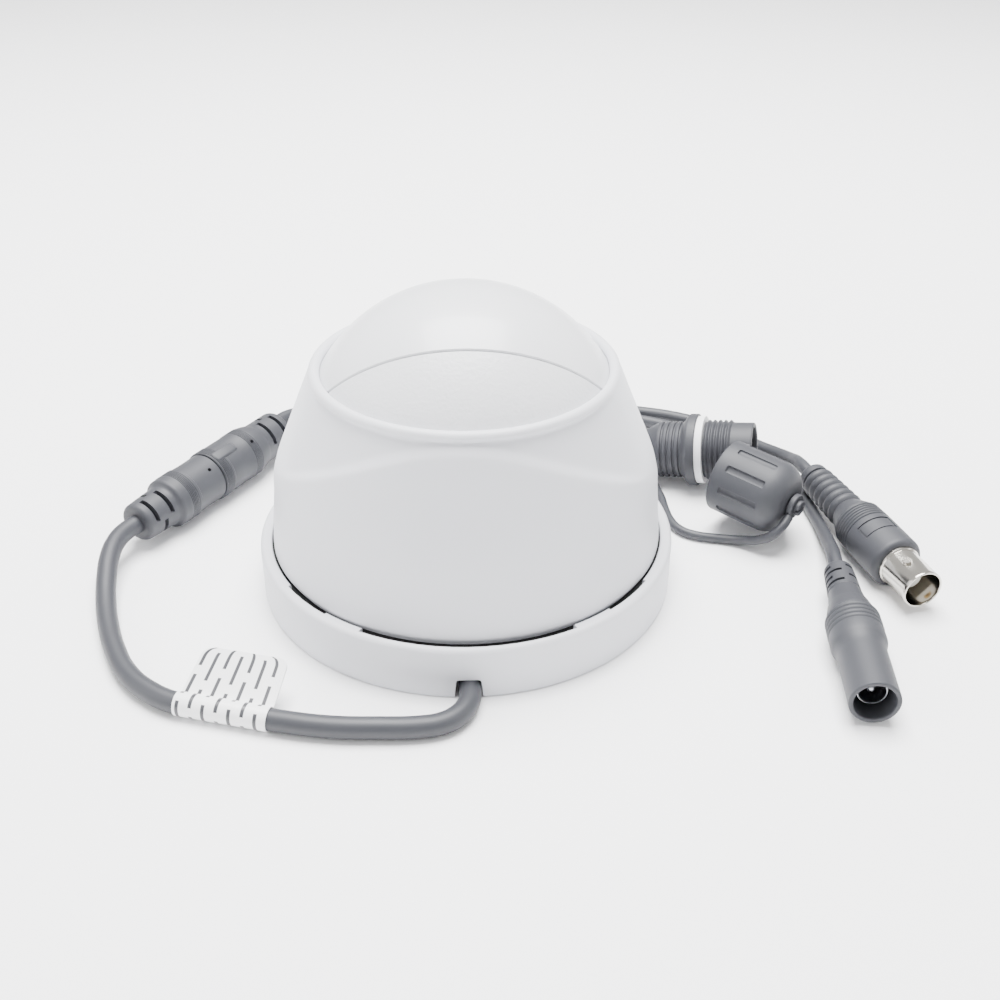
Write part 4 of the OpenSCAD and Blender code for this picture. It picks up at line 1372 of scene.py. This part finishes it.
    def base(self) -> bpy.types.Object:
        """Builds the base: round wall, thin cuts in its lip, cable notch and screw holes.

        Returns:
            The finished piece.
        """
        outline = [(self.feed_r, 0.0), (self.base_r - 0.5, 0.0)]
        outline += arc((self.base_r - 0.5, 0.5), 0.5, -70, 0, 4)
        outline += [(self.base_r, 4.0), (self.base_r, 8.0)]
        outline += arc((self.base_r - 1.1, self.base_h - 1.1), 1.1, 0, 90, 7)
        outline += arc((self.base_in_r + 0.4, self.base_h - 0.4), 0.4, 90, 180, 4)
        outline += [(self.base_in_r, self.ledge_h), (self.flange_r - 0.3, self.ledge_h)]
        outline += [(self.flange_r - 0.3, self.floor_t), (self.feed_r, self.floor_t)]
        foot = self.floor_t - 0.1
        posts = []
        for turn in self.ring_posts:
            posts.append(rod(2.6, 5.3, turned(turn) @ moved(self.ring_post_r, 0, foot), 32))
        for turn in self.wall_screws:
            posts.append(rod(4.4, 2.1, turned(turn) @ moved(self.wall_screw_r, 0, foot), 40))
        for x in (-self.clamp_x, self.clamp_x):
            posts.append(rod(2.4, 2.5, moved(x, -self.wall_screw_r, foot), 32))
        body = combine(spin(outline, True, 192), posts, "UNION")
        cuts = [self.notch()]
        for turn in self.wall_screws:
            cuts.append(rod(2.1, 8, turned(turn) @ moved(self.wall_screw_r, 0, -1), 32))
        low, high = self.ledge_h + 0.1, self.base_h + 1
        for first, last, depth in self.lip_cuts:
            reach = (self.base_in_r - 1, self.base_in_r + depth)
            cuts.append(band(*reach, low, high, (first + last) / 2 - 90, last - first))
        body = combine(body, cuts)
        return finish_piece(
            body, "round_base", WHITE_ABS, Matrix.Identity(4), "base", ["mounting_base"],
            40,
        )

    def liner(self) -> bpy.types.Object:
        """Builds a black ring that fills the gap between the base and the enclosure: painted shade
        for the gap's shadow.

        Returns:
            The finished piece.
        """
        inner, top = self.foot_r - 0.75, 11.0
        outline = [(inner, self.ledge_h), (self.base_in_r, self.ledge_h)]
        ring = spin(outline + [(self.base_in_r, top), (inner, top)], True, 160)
        seat = Matrix.Identity(4)
        # The black ring is painted shade: it darkens the gap where only shadow falls
        return finish_piece(ring, "painted_gap_shade", BLACK_RUBBER, seat, "base")

    def notch(self) -> bmesh.types.BMesh:
        """Makes the cable notch's shape, straight sides with a rounded top.

        Returns:
            The cutter.
        """
        mesh = bmesh.new()
        foot, top = -self.notch_w / 2, -self.notch_top_w / 2
        centre = (top + self.notch_round, self.notch_h - self.notch_round)
        outline = [(foot, -1.0), (foot, 0.0), (top, self.notch_h - 1)]
        outline += arc(centre, self.notch_round, 180, 90, 3)
        outline += [(-x, y) for x, y in reversed(outline)]
        face = mesh.faces.new([mesh.verts.new((x, 0.0, y)) for x, y in outline])
        grown = bmesh.ops.extrude_face_region(mesh, geom=[face])
        tops = [item for item in grown["geom"] if isinstance(item, bmesh.types.BMVert)]
        bmesh.ops.translate(mesh, verts=tops, vec=(0, -self.base_r - 2, 0))
        bmesh.ops.recalc_face_normals(mesh, faces=mesh.faces)
        return mesh


def ease(value: float, low: float, high: float) -> float:
    """Rises smoothly from 0 at the low value to 1 at the high one."""
    share = min(1.0, max(0.0, (value - low) / (high - low)))
    return share * share * (3 - 2 * share)


def blend_least(a: float, b: float, soft: float) -> float:
    """The lesser of two lengths, rounded over `soft` where they cross."""
    near = max(soft - abs(a - b), 0.0) / soft
    return min(a, b) - near * near * soft / 4


# ------------------------------------------------------------------ ball


@dataclass
class Ball:
    """The ball's two shells, drawn about the lens axis."""

    radius: float = 37.0
    centre_z: float = 33.55
    wall: float = 2.0
    lean: float = 63.0
    seam: float = -2.27
    seam_gap: float = 0.26
    seam_in: float = 0.35
    seam_rise: float = 0.22
    front_z: float = 26.52
    front_r: float = 25.8
    window_r: float = 24.1
    window_foot: float = 23.72
    ledge_r: float = 22.0
    ledge_z: float = 22.12
    cut_d: float = 11.36
    cut_turn: float = 37.5

    def seat(self) -> Matrix:
        """Returns the lens frame: origin at the ball's centre, +Z along the lens axis."""
        return moved(0, 0, self.centre_z) @ turned(-self.lean, "X")

    def back_cut(self) -> bmesh.types.BMesh:
        """Makes the block that cuts the ball's hidden back off flat.

        Returns:
            The cutter.
        """
        size = 6 * self.radius
        seat = turned(self.cut_turn, "X") @ moved(0, 0, -self.cut_d - size / 2)
        return block((size, size, size), seat)

    def zone(self, radius: float, low: float, high: float, steps: int) -> list[Point]:
        """Points along a sphere's outline from one height to another."""
        start, end = (math.degrees(math.asin(z / radius)) for z in (low, high))
        return arc((0, 0), radius, start, end, steps)

    def front(self) -> bpy.types.Object:
        """Builds the smooth front shell, up to the window's ledge.

        Returns:
            The finished piece.
        """
        inner = self.radius - self.wall
        outline = [(self.radius - self.seam_in, self.seam)]
        outline += self.zone(self.radius, self.seam + self.seam_rise, self.front_z - 0.25, 40)
        outline += [(self.front_r - 0.25, self.front_z), (self.window_r + 0.2, self.front_z)]
        outline += [(self.window_r, self.front_z - 0.2), (self.window_r, self.window_foot)]
        outline += [(self.ledge_r, self.window_foot), (self.ledge_r, self.ledge_z)]
        outline += self.zone(inner, self.ledge_z, self.seam, 24)
        body = combine(spin(outline, True, 160), [self.back_cut()])
        return finish_piece(
            body, "smooth_front_shell", SMOOTH_WHITE, self.seat(), "ball", ["front_shell"],
        )

    def rear(self) -> bpy.types.Object:
        """Builds the textured rear shell behind the seam.

        Returns:
            The finished piece.
        """
        inner = self.radius - self.wall
        top = self.seam - self.seam_gap
        outline = [(inner, top), (self.radius - self.seam_in, top)]
        outline += self.zone(self.radius, top - self.seam_rise, -self.radius, 40)
        outline += self.zone(inner, -inner, top, 30)[:-1]
        body = combine(spin(outline, True, 160), [self.back_cut()])
        return finish_piece(
            body, "textured_rear_shell", PEEL_WHITE, self.seat(), "ball", ["rear_shell"],
        )


def dress_cad_nodes() -> None:
    """Gives each CAD node that stays in view its own finish."""
    for finish, nodes in CAD_FINISHES.items():
        for name in nodes.split():
            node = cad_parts[name]
            node.data.materials.clear()
            node.data.materials.append(finish.material())
            LOG.info("%s keeps its CAD shape in %s", name, finish.name)


def main() -> None:
    """Builds the studio, the cords and every sub-assembly in order."""
    logging.basicConfig(level=logging.INFO, format="%(message)s")
    studio = Studio()
    studio.camera()
    drawn = LeadSet().build()
    WrapLabel().build()
    joint = InlineJoint()
    joint.plug_half()
    joint.socket_half()
    video = VideoPlug()
    video.boot()
    video.barrel()
    PowerSocket().build()
    coupler = Coupler()
    coupler.body()
    coupler.cap()
    coupler.eyes()
    coupler.screw()
    for cord, curve in drawn:
        cord.declare(curve)
    housing = Housing()
    housing.base()
    # A black ring in the gap between base and enclosure, as painted shade
    housing.liner()
    housing.enclosure()
    ball = Ball()
    ball.front()
    ball.rear()
    dress_cad_nodes()
    studio.floor()
    studio.lights()


if __name__ == "__main__":
    main()
